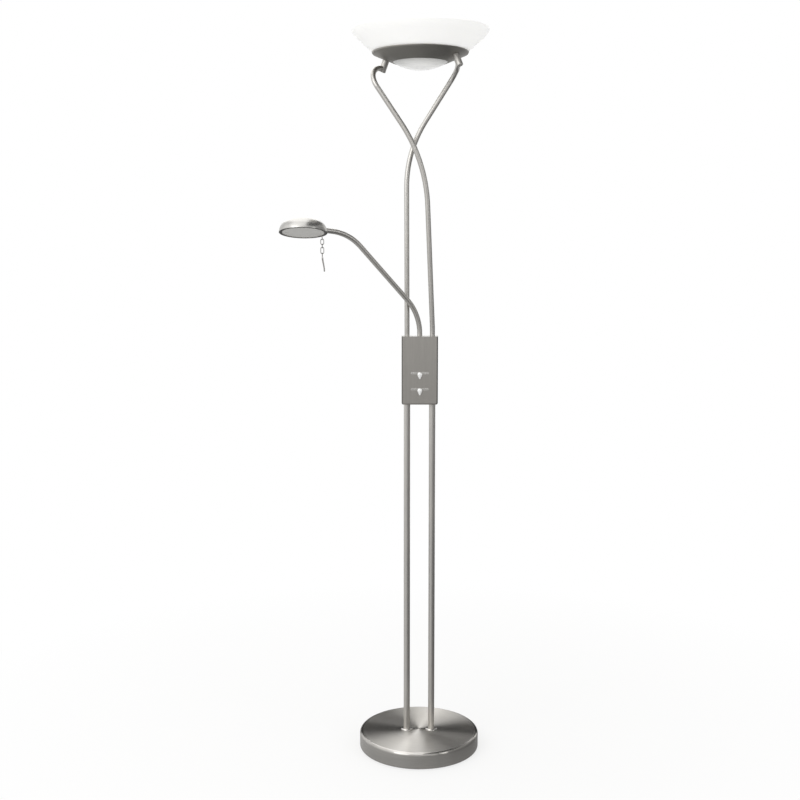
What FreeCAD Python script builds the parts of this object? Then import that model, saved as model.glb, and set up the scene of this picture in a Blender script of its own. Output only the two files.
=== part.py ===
import FreeCAD, Part
import math
import os

from FreeCAD import Vector

os.makedirs("parts", exist_ok=True)

# A floor lamp with an uplighter bowl on two bent tubes and a small reading light
# on its own arm.  Sizes are in millimetres and +Z is up.  The origin lies on the
# floor under the middle of the base, and the front of the control box faces -Y.
# The arm stands to the left of the box, turned a little towards the front.

# ---------------------------------------------------------------------------
# Driving dimensions
# ---------------------------------------------------------------------------

lamp_height = 1800.0                # floor to the top edge of the glass bowl

# Shared fits
turned_fit = 0.05                   # radial clearance of turned parts
loose_fit = 0.3                     # clearance where a piece only passes through
panel_gap = 0.2                     # gap round a flat panel
overrun = 10.0                      # how far a cutter runs past what it cuts

# Base
base_radius = 152.5
base_height = 43.5
base_sheet = 1.2                    # spun cover
base_top_round = 8.5
base_bottom_round = 4.0
base_lift = 1.5                     # lower edge of the cover above the floor
floor_plate_inset = 0.5
pad_thickness = 2.5
pad_screw_gap = 5.0                 # between the pad's edge and the screw heads
floor_plate_thickness = 1.2
ballast_disc_thickness = 10.0
ballast_rim_width = 16.0
ballast_clearance = 1.0             # between the ballast and the cover's side
ballast_chamfer = 6.0
floor_screw_count = 4

# Cable inlet at the back of the base
mains_lead_radius = 2.75
gland_height = 12.0
gland_barrel_radius = 5.0
gland_flange_radius = 7.5
gland_flange_thickness = 2.5
gland_flange_root = 2.0             # flange sunk into the curve of the cover
lead_clamp_distance = 95.0          # from the lamp's middle
lead_clamp_width = 16.0
lead_clamp_length = 12.0
lead_clamp_wall = 3.0

# Lower poles
pole_spacing = 63.0
pole_radius = 8.0
pole_wall = 1.2
collar_width = 7.0                  # how far a foot collar reaches past its pole
collar_height = 2.8
collar_edge = 0.8                   # height of the collar's outer edge
collar_top_width = 2.2              # flat band next to the pole

# Threaded pipe and nuts that join poles, tubes, base and box.  The pipe's radius
# follows from the bore of the upper tubes, which it screws into.
pipe_wall = 1.5
pipe_engagement = 14.0              # length of pipe held in a pole or tube
pipe_end = 2.0                      # pipe that shows past its nut
nut_across_flats = 17.0
nut_height = 6.0
pipe_hole_clearance = 0.2

# Control box
box_bottom = 893.0
box_width = 90.0
box_height = 170.0
box_depth = 44.0
cover_sheet = 1.0
cover_front_round = 4.0
cover_corner_round = 5.0
cover_lip_width = 6.5
chassis_sheet = 2.4
chassis_width = 78.0
chassis_back_width = 72.0
back_plate_sheet = 1.2
back_plate_inset = 0.4              # behind the cover's rear edge
cover_lip_start = 8.0               # lips start this far above the box's bottom
chassis_setback = 5.0               # chassis flanges behind the box's front face
top_plate_sheet = 2.0
top_gap = 2.5                       # between the chassis and the top plate
box_screw_spread = 52.0
box_screw_inset = 18.0
screw_head_radius = 3.2
screw_head_height = 1.6
screw_shank_radius = 1.5
screw_shank_length = 8.0

# Dimmers
slot_upper_above_bottom = 79.0
slot_lower_above_bottom = 39.0
slot_length = 43.0
slot_height = 3.0
slider_travel = 16.0                # to each side of the middle
knob_radius = 6.0
knob_length = 15.0
knob_tip_radius = 1.8
knob_top_round = 1.0
knob_face_gap = 0.5
knob_above_lever = 1.4
knob_socket_depth = 3.0
stem_width = 5.0
stem_thickness = 1.6
board_thickness = 1.6
board_width = 68.0
board_bottom_above_box = 26.0
board_height = 92.0
board_front = -9.0                  # y of the board's front face
pot_length = 60.0
pot_height = 9.0
pot_depth = 7.0
pot_channel_depth = 4.5
pot_channel_height = 4.0
carriage_length = 8.0
carriage_height = 3.4
carriage_depth = 3.0
channel_spare = 1.5                 # channel beyond each end of the travel
spacer_radius = 3.0
spacer_spread = 56.0
spacer_low = 34.0                   # above the board's bottom
spacer_high = 7.0                   # below the board's top
choke_outer_radius = 11.0
choke_inner_radius = 4.5
choke_height = 9.0
choke_round = 1.8
choke_spread = 28.0
choke_below_top = 20.0
triac_width = 10.0
triac_thickness = 4.5
triac_height = 16.0
triac_spread = 24.0
triac_above_bottom = 18.0
triac_hole_radius = 1.6
triac_hole_height = 12.5
terminal_width = 32.0
terminal_depth = 10.0
terminal_height = 20.0
terminal_above_chassis = 4.0
terminal_ways = 4
terminal_hole_radius = 2.0
terminal_hole_depth = 4.0

# Upper tubes
tube_radius = 6.25
tube_wall = 1.2
tube_rise = 19.0                    # straight length above the box before the lean
tube_rise_bend = 150.0
# Each tube leans at one bend point and hooks into its post at another.  A bend
# point is given by its x and y and by its drop below the ring's top edge.
right_lean_point = (14.2, -12.0, 258.0)
right_lean_bend = 376.0
right_hook_point = (-132.7, 0.0, 38.6)
right_hook_bend = 40.0
left_lean_point = (-32.9, 12.0, 234.0)
left_lean_bend = 294.0
left_hook_point = (89.2, 23.4, 41.7)
left_hook_bend = 32.0
tube_end_gap = 3.2                  # tube end to the post's axis

# Posts under the ring
post_radius = 8.5
post_length = 29.0
post_axis_radius = 94.5             # where a post meets the ring's underside
post_angle = -28.0                  # near right post; the other is opposite
post_entry = 19.0                   # tube axis below the ring, along the post
post_bore_radius = 3.5
post_end_round = 1.5
spigot_length = 12.0                # it has the threaded pipe's radius
post_nut_gap = 0.25                 # flat nut over the curved sheet

# Ring, glass bowl and diffuser
bowl_height = 53.0                  # glass that stands above the ring's lip
ring_outer_radius = 117.0
ring_inner_radius = 67.0
ring_cone_rise = 21.0
ring_lip_height = 3.0
ring_sheet = 1.2
ring_bend = 4.0                     # outer radius where the cone turns into the lip
bowl_rim_radius = 166.5
glass_thickness = 4.5
bowl_foot_width = 9.0               # band of glass that stands in the ring
bowl_foot_chamfer = 2.5
bowl_lip_clearance = 0.5
bowl_flare_radius = 148.5           # where the glass stops running straight
bowl_flare_drop = 20.3              # that place below the bowl's top edge
diffuser_thickness = 3.0
diffuser_drop = 17.5                # lowest point below the ring's inner edge
diffuser_flange = 6.0
cone_seat_gap = 0.1                 # pieces that stand on the ring's sloping sheet
clip_width = 10.0
clip_reach = 84.0
clip_thickness = 1.2
clip_overlap = 3.0                  # how far a clip reaches over the flange
clip_step = 1.0
clip_angles = (60.0, 115.0, 250.0)
diffuser_clearance = 1.0            # dome to the ring's inner edge

# Uplighter lamp
bracket_angle = 10.0
bracket_half_length = 95.0
bracket_width = 14.0
bracket_sheet = 1.5
bracket_height = 6.0                # above the ring where the bracket's feet stand
bracket_foot_length = 8.0
holder_inner_distance = 57.0        # from the lamp's middle to a holder's face
holder_length = 16.0
holder_width = 14.0
holder_height = 22.0
holder_socket_radius = 5.2
holder_socket_depth = 5.0
bulb_height = 15.0                  # bulb axis above the bracket
bulb_radius = 5.5
bulb_glass_half_length = 50.0
bulb_pin_radius = 3.6
bulb_pin_gap = 0.2                  # pin to the bottom of its socket
lamp_lead_radius = 2.0              # leads of both lamps

# Reading arm
arm_angle = 28.0                    # from straight left, towards the front
arm_rise = 54.0                     # first bend point above the box
arm_lower_bend = 120.0
arm_upper_reach = 193.0             # second bend point from the swivel axis
arm_upper_rise = 250.5              # second bend point above the box
arm_upper_bend = 120.0
arm_end_slope = 6.0
arm_ring_radius = 8.2
arm_ring_height = 1.4
bush_radius = 9.0
bush_length = 22.5                  # below its flange
bush_flange_radius = 13.0
bush_recess_depth = 2.0
bush_recess_radius = 8.5
arm_washer_thickness = 1.0
arm_washer_radius = 9.5
arm_nut_across_flats = 19.0
arm_nut_height = 6.0
arm_tail = 2.0                      # tube that shows below the arm's nut
arm_lead_tail = 6.0                 # lead that shows below the arm's tube

# Reading head
head_reach = 311.0                  # head's middle from the swivel axis
head_radius = 56.5
head_height = 39.5
head_shoulder_radius = 30.0         # the dome's tighter curve next to the rim
head_sheet = 1.0
head_roll = 11.0                    # underside turned towards the front at rest
head_axis_height = 12.5             # roll axis above the rim
swivel_bush_radius = 7.4
swivel_bush_proud = 1.0             # how far it stands out of the shell
swivel_bush_length = 12.5
swivel_gap = 0.3
swivel_pipe_engagement = 12.0
swivel_nut_across_flats = 13.0
swivel_nut_height = 5.0
swivel_pipe_tail = 1.5              # pipe that shows past its nut
lens_ring_height = 4.0
lens_ring_wall = 2.8
lens_clearance = 0.2
lens_ledge_width = 3.0
lens_ledge_thickness = 1.2
lens_thickness = 2.6
reflector_sheet = 0.6
reflector_height = 27.0
reflector_flange = 3.0              # flat band that lies over the lens
reflector_inset = 0.8
reflector_notch_gap = 2.0
head_holder_length = 18.0
head_holder_width = 16.0
head_holder_height = 14.0
head_bracket_sheet = 1.2
head_bracket_width = 14.0
head_tongue_rise = 8.0              # bracket's tongue above the roll axis
head_holder_gap = 1.5               # swivel pipe to the lampholder
head_socket_radius = 4.0
head_socket_depth = 5.0
head_bulb_radius = 6.0
head_bulb_length = 40.0
head_bulb_base_radius = 3.7
head_bulb_gap = 0.2                 # bulb to the lampholder

# Pull chain and handle under the head
eyelet_angle = 190.0                # on the rim, seen from above the head
eyelet_radius = 3.0
eyelet_neck = 2.6                   # from the rim down to the eyelet's ring
eyelet_depth = 3.0                  # how deep its shank sits in the lens ring
chain_wire_radius = 0.9
link_inner_radius = 2.7
upper_link_length = 15.0
middle_link_length = 12.0
lower_link_length = 17.0
chain_gap = 0.3
handle_length = 43.0
handle_top_radius = 2.1
handle_tip_radius = 1.5

# ---------------------------------------------------------------------------
# Small helpers
# ---------------------------------------------------------------------------

up = Vector(0, 0, 1)
down = Vector(0, 0, -1)
along_x = Vector(1, 0, 0)
along_y = Vector(0, 1, 0)
axis_point = Vector(0, 0, 0)


def rod(radius, length, start, direction=up):
    """A round bar."""
    return Part.makeCylinder(radius, length, start, direction)


def pipe(outer, inner, length, start, direction=up):
    """A round bar with a bore."""
    return rod(outer, length, start, direction).cut(rod(inner, length, start, direction))


def block(x_range, y_range, z_range):
    """A box between pairs of coordinates."""
    size = [b - a for a, b in (x_range, y_range, z_range)]
    return Part.makeBox(*size, Vector(x_range[0], y_range[0], z_range[0]))


def hexagon(across_flats, height, start, direction, bore):
    """A hexagon nut with a plain bore."""
    corner = across_flats / math.sqrt(3)
    corners = []
    for step in range(7):
        turn = math.radians(60 * step)
        corners.append(Vector(corner * math.cos(turn), corner * math.sin(turn), 0))
    face = Part.Face(Part.makePolygon(corners))
    nut = face.extrude(Vector(0, 0, height))
    nut = nut.cut(rod(bore, height, axis_point))
    nut.Placement = FreeCAD.Placement(start, FreeCAD.Rotation(up, direction))
    return nut


def line(a, b):
    """A straight edge."""
    return Part.LineSegment(a, b).toShape()


def arc(a, middle, b):
    """An arc edge through three points."""
    return Part.Arc(a, middle, b).toShape()


def rz(radius, height):
    """A point of a profile that will turn about the lamp's axis."""
    return Vector(radius, 0, height)


def polygon_edges(points):
    """Straight edges from point to point, left open."""
    return [line(a, b) for a, b in zip(points[:-1], points[1:])]


def turned(edges):
    """A solid of revolution about Z from the closed profile."""
    face = Part.Face(Part.Wire(edges))
    return face.revolve(axis_point, up, 360)


def turned_polygon(points):
    """A solid of revolution about Z from a straight-sided profile."""
    return turned(polygon_edges(points + points[:1]))


def corner_middle(centre, radius, degrees):
    """The point of a profile arc at an angle from its centre."""
    turn = math.radians(degrees)
    return centre + rz(radius * math.cos(turn), radius * math.sin(turn))


def polar(radius, degrees, height=0.0):
    """A point at a distance and angle about the lamp's axis."""
    turn = math.radians(degrees)
    return Vector(radius * math.cos(turn), radius * math.sin(turn), height)


def unit(vector):
    """The vector with length one."""
    return vector * (1.0 / vector.Length)


def turned_about_z(shape, degrees):
    """A copy turned about the lamp's axis."""
    copy = shape.copy()
    copy.rotate(axis_point, up, degrees)
    return copy


def group(shapes):
    """Separate solids that share one node."""
    return Part.makeCompound(shapes)


def bent_route(points, bends):
    """A route of straight runs joined by tangent arcs.

    bends holds one bend radius for each inner point.  Where two bends would
    meet on a short run, both shrink by the same share.
    """
    runs = [b - a for a, b in zip(points[:-1], points[1:])]
    halves = []
    for before, after in zip(runs[:-1], runs[1:]):
        halves.append(before.getAngle(after) / 2)
    reach = [radius * math.tan(half) for radius, half in zip(bends, halves)]
    share = 1.0
    padded = [0.0] + reach + [0.0]
    for run, first, second in zip(runs, padded[:-1], padded[1:]):
        if first + second > 0.98 * run.Length:
            share = min(share, 0.98 * run.Length / (first + second))
    edges = []
    here = points[0]
    for index, half in enumerate(halves):
        corner = points[index + 1]
        before = unit(runs[index])
        after = unit(runs[index + 1])
        step = reach[index] * share
        enter = corner - before * step
        leave = corner + after * step
        radius = step / math.tan(half)
        sideways = unit(after - before)
        middle = corner + sideways * (radius / math.cos(half) - radius)
        edges.append(line(here, enter))
        edges.append(arc(enter, middle, leave))
        here = leave
    edges.append(line(here, points[-1]))
    return Part.Wire(edges)


def swept(route, radius, start, direction):
    """A round bar along a route."""
    circle = Part.Wire(Part.Circle(start, direction, radius).toShape())
    return route.makePipeShell([circle], True, False)


def bent_rod(points, bends, radius):
    """A round bar bent through the points."""
    route = bent_route(points, bends)
    return swept(route, radius, points[0], points[1] - points[0])


def bent_tube(points, bends, outer, inner):
    """A tube bent through the points."""
    return bent_rod(points, bends, outer).cut(bent_rod(points, bends, inner))


# ---------------------------------------------------------------------------
# Levels and places worked out from the driving dimensions
# ---------------------------------------------------------------------------

pipe_radius = tube_radius - tube_wall - turned_fit
pipe_bore_radius = pipe_radius - pipe_wall

pole_x = pole_spacing / 2
pole_bore = pole_radius - pole_wall
pole_places = (Vector(-pole_x, 0, 0), Vector(pole_x, 0, 0))

cover_top_inside = base_height - base_sheet
ballast_bottom = cover_top_inside - ballast_disc_thickness
floor_plate_top = pad_thickness + floor_plate_thickness
ballast_radius = base_radius - base_sheet - ballast_clearance
ballast_rim_inner = ballast_radius - ballast_rim_width
floor_screw_radius = ballast_radius - ballast_rim_width / 2
foot_nut_bottom = ballast_bottom - nut_height
foot_pipe_bottom = foot_nut_bottom - pipe_end

box_top = box_bottom + box_height
box_half = box_width / 2
box_front = -box_depth / 2
box_back = box_depth / 2
back_plate_front = box_back - back_plate_inset - back_plate_sheet
chassis_bottom = box_bottom + cover_sheet
chassis_floor = chassis_bottom + chassis_sheet
top_plate_bottom = box_top - top_plate_sheet
chassis_top = top_plate_bottom - top_gap
chassis_ceiling = chassis_top - chassis_sheet
chassis_back_front = back_plate_front - chassis_sheet
lip_front = back_plate_front - cover_sheet
slot_levels = (box_bottom + slot_upper_above_bottom, box_bottom + slot_lower_above_bottom)
board_back = board_front + board_thickness
board_bottom = box_bottom + board_bottom_above_box
board_top = board_bottom + board_height
pot_front = board_front - pot_depth
spacer_levels = (board_bottom + spacer_low, board_top - spacer_high)
choke_level = board_top - choke_below_top
triac_level = board_bottom + triac_above_bottom
terminal_bottom = chassis_floor + terminal_above_chassis
terminal_top = terminal_bottom + terminal_height
terminal_back = chassis_back_front
terminal_front = terminal_back - terminal_depth
terminal_middle = terminal_back - terminal_depth / 2

ring_top = lamp_height - bowl_height
cone_outer_level = ring_top - ring_lip_height
cone_inner_level = cone_outer_level - ring_cone_rise
cone_slope = math.atan2(ring_cone_rise, ring_outer_radius - ring_inner_radius)
sheet_rise = ring_sheet / math.cos(cone_slope)


def cone_underside(radius):
    """Height of the ring's lower surface."""
    return cone_inner_level + (radius - ring_inner_radius) * math.tan(cone_slope)


def cone_upside(radius):
    """Height of the ring's upper surface."""
    return cone_underside(radius) + sheet_rise


def post_frame(degrees):
    """Where a post meets the ring, and the post's downward direction."""
    outward = polar(1.0, degrees)
    seat = polar(post_axis_radius, degrees, cone_underside(post_axis_radius))
    direction = outward * math.sin(cone_slope) + down * math.cos(cone_slope)
    return seat, direction


# A tube that starts at the right of the box ends at the far left post, and the
# left one ends at the near right post, so the two cross above the box.
post_angles = {"left": post_angle, "right": post_angle + 180.0}


def tube_points(side):
    """Bend points of an upper tube up to the axis of its post."""
    if side == "right":
        foot_x, lean, hook = pole_x, right_lean_point, right_hook_point
    else:
        foot_x, lean, hook = -pole_x, left_lean_point, left_hook_point
    seat, direction = post_frame(post_angles[side])
    return [
        Vector(foot_x, 0, chassis_top),
        Vector(foot_x, 0, box_top + tube_rise),
        Vector(lean[0], lean[1], ring_top - lean[2]),
        Vector(hook[0], hook[1], ring_top - hook[2]),
        seat + direction * post_entry,
    ]


def tube_bends(side):
    """Bend radii of an upper tube."""
    if side == "right":
        return [tube_rise_bend, right_lean_bend, right_hook_bend]
    return [tube_rise_bend, left_lean_bend, left_hook_bend]


# The reading arm lies in one upright plane through the swivel axis.
arm_outward = Vector(-math.cos(math.radians(arm_angle)), -math.sin(math.radians(arm_angle)), 0)
arm_slope = math.radians(arm_end_slope)
arm_direction = arm_outward * math.cos(arm_slope) + up * math.sin(arm_slope)
bush_bottom = chassis_top - bush_length
recess_floor = top_plate_bottom - bush_recess_depth
arm_washer_bottom = bush_bottom - arm_washer_thickness
arm_nut_bottom = arm_washer_bottom - arm_nut_height
arm_foot = arm_nut_bottom - arm_tail


def arm_end_point(distance):
    """A point of the arm's end line, by its distance from the swivel axis."""
    rise = (distance - arm_upper_reach) * math.tan(arm_slope)
    return arm_outward * distance + up * (box_top + arm_upper_rise + rise)


# The head has its own frame: x runs on along the arm's end, z is the dome's axis
# and the origin is the middle of the rim.
head_x = arm_direction
level_y = unit(up.cross(arm_outward))
level_z = head_x.cross(level_y)
roll = math.radians(head_roll)
head_y = level_y * math.cos(roll) + level_z * math.sin(roll)
head_z = level_z * math.cos(roll) - level_y * math.sin(roll)
head_axis_point = arm_end_point(head_reach)
head_origin = head_axis_point - head_z * head_axis_height
head_placement = FreeCAD.Placement(
    FreeCAD.Matrix(
        head_x.x, head_y.x, head_z.x, head_origin.x,
        head_x.y, head_y.y, head_z.y, head_origin.y,
        head_x.z, head_y.z, head_z.z, head_origin.z,
        0, 0, 0, 1,
    )
)
swivel_bush_outer = head_radius + swivel_bush_proud
swivel_bush_inner = swivel_bush_outer - swivel_bush_length
arm_tube_end = swivel_bush_outer + swivel_gap


def in_head(shape):
    """A piece drawn in the head's frame, moved to its place."""
    moved = shape.copy()
    moved.Placement = head_placement.multiply(shape.Placement)
    return moved


def head_point(x, y, z):
    """A point given in the head's frame."""
    return head_origin + head_x * x + head_y * y + head_z * z


# ---------------------------------------------------------------------------
# Base
# ---------------------------------------------------------------------------

def make_base_cover():
    """Spun shell, rolled in at its lower edge."""
    side = base_radius
    top_centre = rz(side - base_top_round, base_height - base_top_round)
    low_centre = rz(side - base_bottom_round, base_lift + base_bottom_round)
    inner_top = base_top_round - base_sheet
    inner_low = base_bottom_round - base_sheet
    edges = [
        line(rz(0, base_height), rz(top_centre.x, base_height)),
        arc(
            rz(top_centre.x, base_height),
            corner_middle(top_centre, base_top_round, 45),
            rz(side, top_centre.z),
        ),
        line(rz(side, top_centre.z), rz(side, low_centre.z)),
        arc(
            rz(side, low_centre.z),
            corner_middle(low_centre, base_bottom_round, -45),
            rz(low_centre.x, base_lift),
        ),
        line(rz(low_centre.x, base_lift), rz(low_centre.x, base_lift + base_sheet)),
        arc(
            rz(low_centre.x, base_lift + base_sheet),
            corner_middle(low_centre, inner_low, -45),
            rz(side - base_sheet, low_centre.z),
        ),
        line(rz(side - base_sheet, low_centre.z), rz(side - base_sheet, top_centre.z)),
        arc(
            rz(side - base_sheet, top_centre.z),
            corner_middle(top_centre, inner_top, 45),
            rz(top_centre.x, cover_top_inside),
        ),
        line(rz(top_centre.x, cover_top_inside), rz(0, cover_top_inside)),
        line(rz(0, cover_top_inside), rz(0, base_height)),
    ]
    cover = turned(edges)
    for place in pole_places:
        cover = cover.cut(rod(pipe_radius + pipe_hole_clearance, base_height, place))
    return cover.cut(gland_hole())


def gland_hole():
    """Cutter for the cable gland, through the back of the base."""
    start = Vector(0, ballast_rim_inner - overrun, gland_height)
    length = ballast_rim_width + 3 * overrun
    return rod(gland_barrel_radius + turned_fit, length, start, along_y)


def make_base_ballast():
    """Cast disc with a rim that stands on the floor plate."""
    outline = [
        rz(0, cover_top_inside),
        rz(ballast_radius - ballast_chamfer, cover_top_inside),
        rz(ballast_radius, cover_top_inside - ballast_chamfer),
        rz(ballast_radius, floor_plate_top),
        rz(ballast_rim_inner, floor_plate_top),
        rz(ballast_rim_inner, ballast_bottom),
        rz(0, ballast_bottom),
    ]
    ballast = turned_polygon(outline)
    for place in pole_places:
        hole = rod(pipe_radius + pipe_hole_clearance, base_height, place)
        ballast = ballast.cut(hole)
    for screw_hole in floor_screws(turned_fit):
        ballast = ballast.cut(screw_hole)
    return ballast.cut(gland_hole())


def screw(head_seat, inward, growth):
    """A round-headed screw, grown a little when it is used as a cutter."""
    shank = rod(screw_shank_radius + growth, screw_shank_length, head_seat, inward)
    head = rod(screw_head_radius, screw_head_height, head_seat, inward * -1)
    return shank.fuse(head)


def floor_screws(growth=0.0):
    """Screws that hold the floor plate."""
    screws = []
    for index in range(floor_screw_count):
        angle = 45 + index * 360 / floor_screw_count
        screws.append(screw(polar(floor_screw_radius, angle, pad_thickness), up, growth))
    return screws


def make_floor_plate():
    """Sheet disc that closes the base from below."""
    radius = base_radius - base_bottom_round - floor_plate_inset
    plate = rod(radius, floor_plate_thickness, Vector(0, 0, pad_thickness))
    for screw_hole in floor_screws(turned_fit):
        plate = plate.cut(screw_hole)
    return plate


def make_foam_pad():
    """Foam disc that the lamp stands on."""
    radius = floor_screw_radius - screw_head_radius - pad_screw_gap
    return rod(radius, pad_thickness, axis_point)


def make_cable_gland():
    """Flanged bush for the supply cord at the back of the base."""
    barrel_start = Vector(0, ballast_rim_inner, gland_height)
    barrel_length = base_radius - ballast_rim_inner + gland_flange_thickness
    barrel = rod(gland_barrel_radius, barrel_length, barrel_start, along_y)
    flange_start = Vector(0, base_radius - gland_flange_root, gland_height)
    flange_length = gland_flange_thickness + gland_flange_root
    flange = rod(gland_flange_radius, flange_length, flange_start, along_y)
    flange = flange.cut(rod(base_radius, base_height, axis_point))
    bore = rod(mains_lead_radius + turned_fit, barrel_length, barrel_start, along_y)
    return barrel.fuse(flange).cut(bore).removeSplitter()


def mains_lead_points():
    """Route of the lead from the gland, through the left pole, to the terminals."""
    return [
        Vector(0, base_radius, gland_height),
        Vector(0, 60, gland_height),
        Vector(-pole_x, 26, gland_height - 1.5),
        Vector(-pole_x, 0, gland_height - 1.5),
        Vector(-pole_x, 0, board_bottom + 26),
        Vector(-8, terminal_middle, board_bottom + 26),
        Vector(-8, terminal_middle, terminal_top),
    ]


def make_mains_lead():
    """Lead from the gland to the terminal block."""
    in_base, at_pole, in_box = 30, 8, 9
    bends = [in_base, in_base, at_pole, in_box, in_box]
    return bent_rod(mains_lead_points(), bends, mains_lead_radius)


def make_lead_clamp():
    """Block under the ballast that grips the lead."""
    half = lead_clamp_width / 2
    low = gland_height - mains_lead_radius - lead_clamp_wall
    near = lead_clamp_distance - lead_clamp_length / 2
    far = lead_clamp_distance + lead_clamp_length / 2
    body = block((-half, half), (near, far), (low, ballast_bottom))
    start = Vector(0, near, gland_height)
    return body.cut(rod(mains_lead_radius + turned_fit, lead_clamp_length, start, along_y))


# ---------------------------------------------------------------------------
# Lower poles and their joints
# ---------------------------------------------------------------------------

def make_lower_pole(place):
    """Straight tube from the base to the chassis of the box."""
    start = place + up * base_height
    return pipe(pole_radius, pole_bore, chassis_bottom - base_height, start)


def make_pole_end_bushes():
    """Plugs in both ends of both poles, bored for the threaded pipe."""
    outer = pole_bore - turned_fit
    inner = pipe_radius + turned_fit
    plugs = []
    for place in pole_places:
        for level in (base_height, chassis_bottom - pipe_engagement):
            plugs.append(pipe(outer, inner, pipe_engagement, place + up * level))
    return group(plugs)


def make_pole_collars():
    """Domed rings that cover the poles' feet."""
    inner = pole_radius + turned_fit
    outer = pole_radius + collar_width
    flat = inner + collar_top_width
    rise = collar_height - collar_edge
    shoulder = rz((outer + flat) / 2 + rise / 2, collar_edge + 0.75 * rise)
    edges = [arc(rz(outer, collar_edge), shoulder, rz(flat, collar_height))]
    edges += polygon_edges([
        rz(flat, collar_height),
        rz(inner, collar_height),
        rz(inner, 0),
        rz(outer, 0),
        rz(outer, collar_edge),
    ])
    collars = []
    for place in pole_places:
        collar = turned(edges)
        collar.translate(place + up * base_height)
        collars.append(collar)
    return group(collars)


def make_threaded_pipes():
    """Hollow threaded pipes: two at the feet, two below and two above the box."""
    foot_length = base_height + pipe_engagement - foot_pipe_bottom
    low_start = chassis_bottom - pipe_engagement
    low_length = chassis_floor + nut_height + pipe_end - low_start
    high_start = chassis_ceiling - nut_height - pipe_end
    high_length = chassis_top + pipe_engagement - high_start
    pipes = []
    for place in pole_places:
        for start, length in (
            (foot_pipe_bottom, foot_length),
            (low_start, low_length),
            (high_start, high_length),
        ):
            pipes.append(pipe(pipe_radius, pipe_bore_radius, length, place + up * start))
    return group(pipes)


def pipe_nut(start, direction):
    """The nut that fits the threaded pipes and the posts' spigots."""
    return hexagon(nut_across_flats, nut_height, start, direction, pipe_radius + turned_fit)


def make_pipe_nuts():
    """Six nuts on the threaded pipes and two on the posts, inside the ring."""
    nuts = []
    for place in pole_places:
        for level in (foot_nut_bottom, chassis_floor, chassis_ceiling - nut_height):
            nuts.append(pipe_nut(place + up * level, up))
    for degrees in post_angles.values():
        seat, direction = post_frame(degrees)
        nuts.append(pipe_nut(seat - direction * (ring_sheet + post_nut_gap), direction * -1))
    return group(nuts)


# ---------------------------------------------------------------------------
# Control box
# ---------------------------------------------------------------------------

def tray_shape(half, low, high, front, back, corner, front_round):
    """A block with rounded lower corners and a rounded front edge, flat on top."""
    side_low = low + corner
    inner = half - corner
    edges = [
        line(Vector(-half, front, high), Vector(half, front, high)),
        line(Vector(half, front, high), Vector(half, front, side_low)),
        arc(
            Vector(half, front, side_low),
            Vector(
                inner + corner * math.cos(math.pi / 4),
                front,
                side_low - corner * math.sin(math.pi / 4),
            ),
            Vector(inner, front, low),
        ),
        line(Vector(inner, front, low), Vector(-inner, front, low)),
        arc(
            Vector(-inner, front, low),
            Vector(
                -inner - corner * math.cos(math.pi / 4),
                front,
                side_low - corner * math.sin(math.pi / 4),
            ),
            Vector(-half, front, side_low),
        ),
        line(Vector(-half, front, side_low), Vector(-half, front, high)),
    ]
    solid = Part.Face(Part.Wire(edges)).extrude(Vector(0, back - front, 0))
    rounded = []
    for edge in solid.Edges:
        box = edge.BoundBox
        on_front = max(abs(box.YMin - front), abs(box.YMax - front)) < turned_fit
        on_top = abs(box.ZMin - high) < turned_fit
        if on_front and not on_top:
            rounded.append(edge)
    return solid.makeFillet(front_round, rounded)


def slot_cutter(level):
    """A round-ended slot through the front of the box."""
    half = slot_length / 2 - slot_height / 2
    depth = (box_front - overrun, box_front + 2 * cover_sheet)
    cutter = block((-half, half), depth, (level - slot_height / 2, level + slot_height / 2))
    for x in (-half, half):
        end = rod(slot_height / 2, depth[1] - depth[0], Vector(x, depth[0], level), along_y)
        cutter = cutter.fuse(end)
    return cutter


def make_box_cover():
    """Front cover: front, sides and bottom in one sheet, with lips at the back."""
    outer = tray_shape(
        box_half, box_bottom, box_top, box_front, box_back, cover_corner_round, cover_front_round
    )
    inner = tray_shape(
        box_half - cover_sheet,
        box_bottom + cover_sheet,
        box_top + overrun,
        box_front + cover_sheet,
        box_back + overrun,
        cover_corner_round - cover_sheet,
        cover_front_round - cover_sheet,
    )
    cover = outer.cut(inner)
    inside = box_half - cover_sheet
    lip_low = box_bottom + cover_lip_start
    for side in (-1, 1):
        x_range = sorted((side * (inside - cover_lip_width), side * (inside + cover_sheet / 2)))
        lip = block(x_range, (lip_front, back_plate_front), (lip_low, chassis_ceiling))
        cover = cover.fuse(lip)
    for place in pole_places:
        hole_start = place + up * (box_bottom - overrun)
        cover = cover.cut(rod(pole_radius + loose_fit, 2 * overrun, hole_start))
    for level in slot_levels:
        cover = cover.cut(slot_cutter(level))
    return cover.removeSplitter()


def make_box_chassis():
    """Bent sheet frame that joins the lower poles to the upper tubes."""
    half = chassis_width / 2
    back_half = chassis_back_width / 2
    flange_front = box_front + chassis_setback
    flange_back = lip_front - panel_gap
    low = block((-half, half), (flange_front, flange_back), (chassis_bottom, chassis_floor))
    high = block((-half, half), (flange_front, flange_back), (chassis_ceiling, chassis_top))
    wall = block(
        (-back_half, back_half), (chassis_back_front, back_plate_front), (chassis_bottom, chassis_top)
    )
    frame = low.fuse(high).fuse(wall)
    for place in pole_places:
        hole = rod(pipe_radius + pipe_hole_clearance, box_height, place + up * box_bottom)
        frame = frame.cut(hole)
    bush_hole_start = up * (chassis_ceiling - overrun)
    frame = frame.cut(rod(bush_radius + turned_fit, 2 * overrun, bush_hole_start))
    for cutter in box_screws(turned_fit):
        frame = frame.cut(cutter)
    return frame.removeSplitter()


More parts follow.
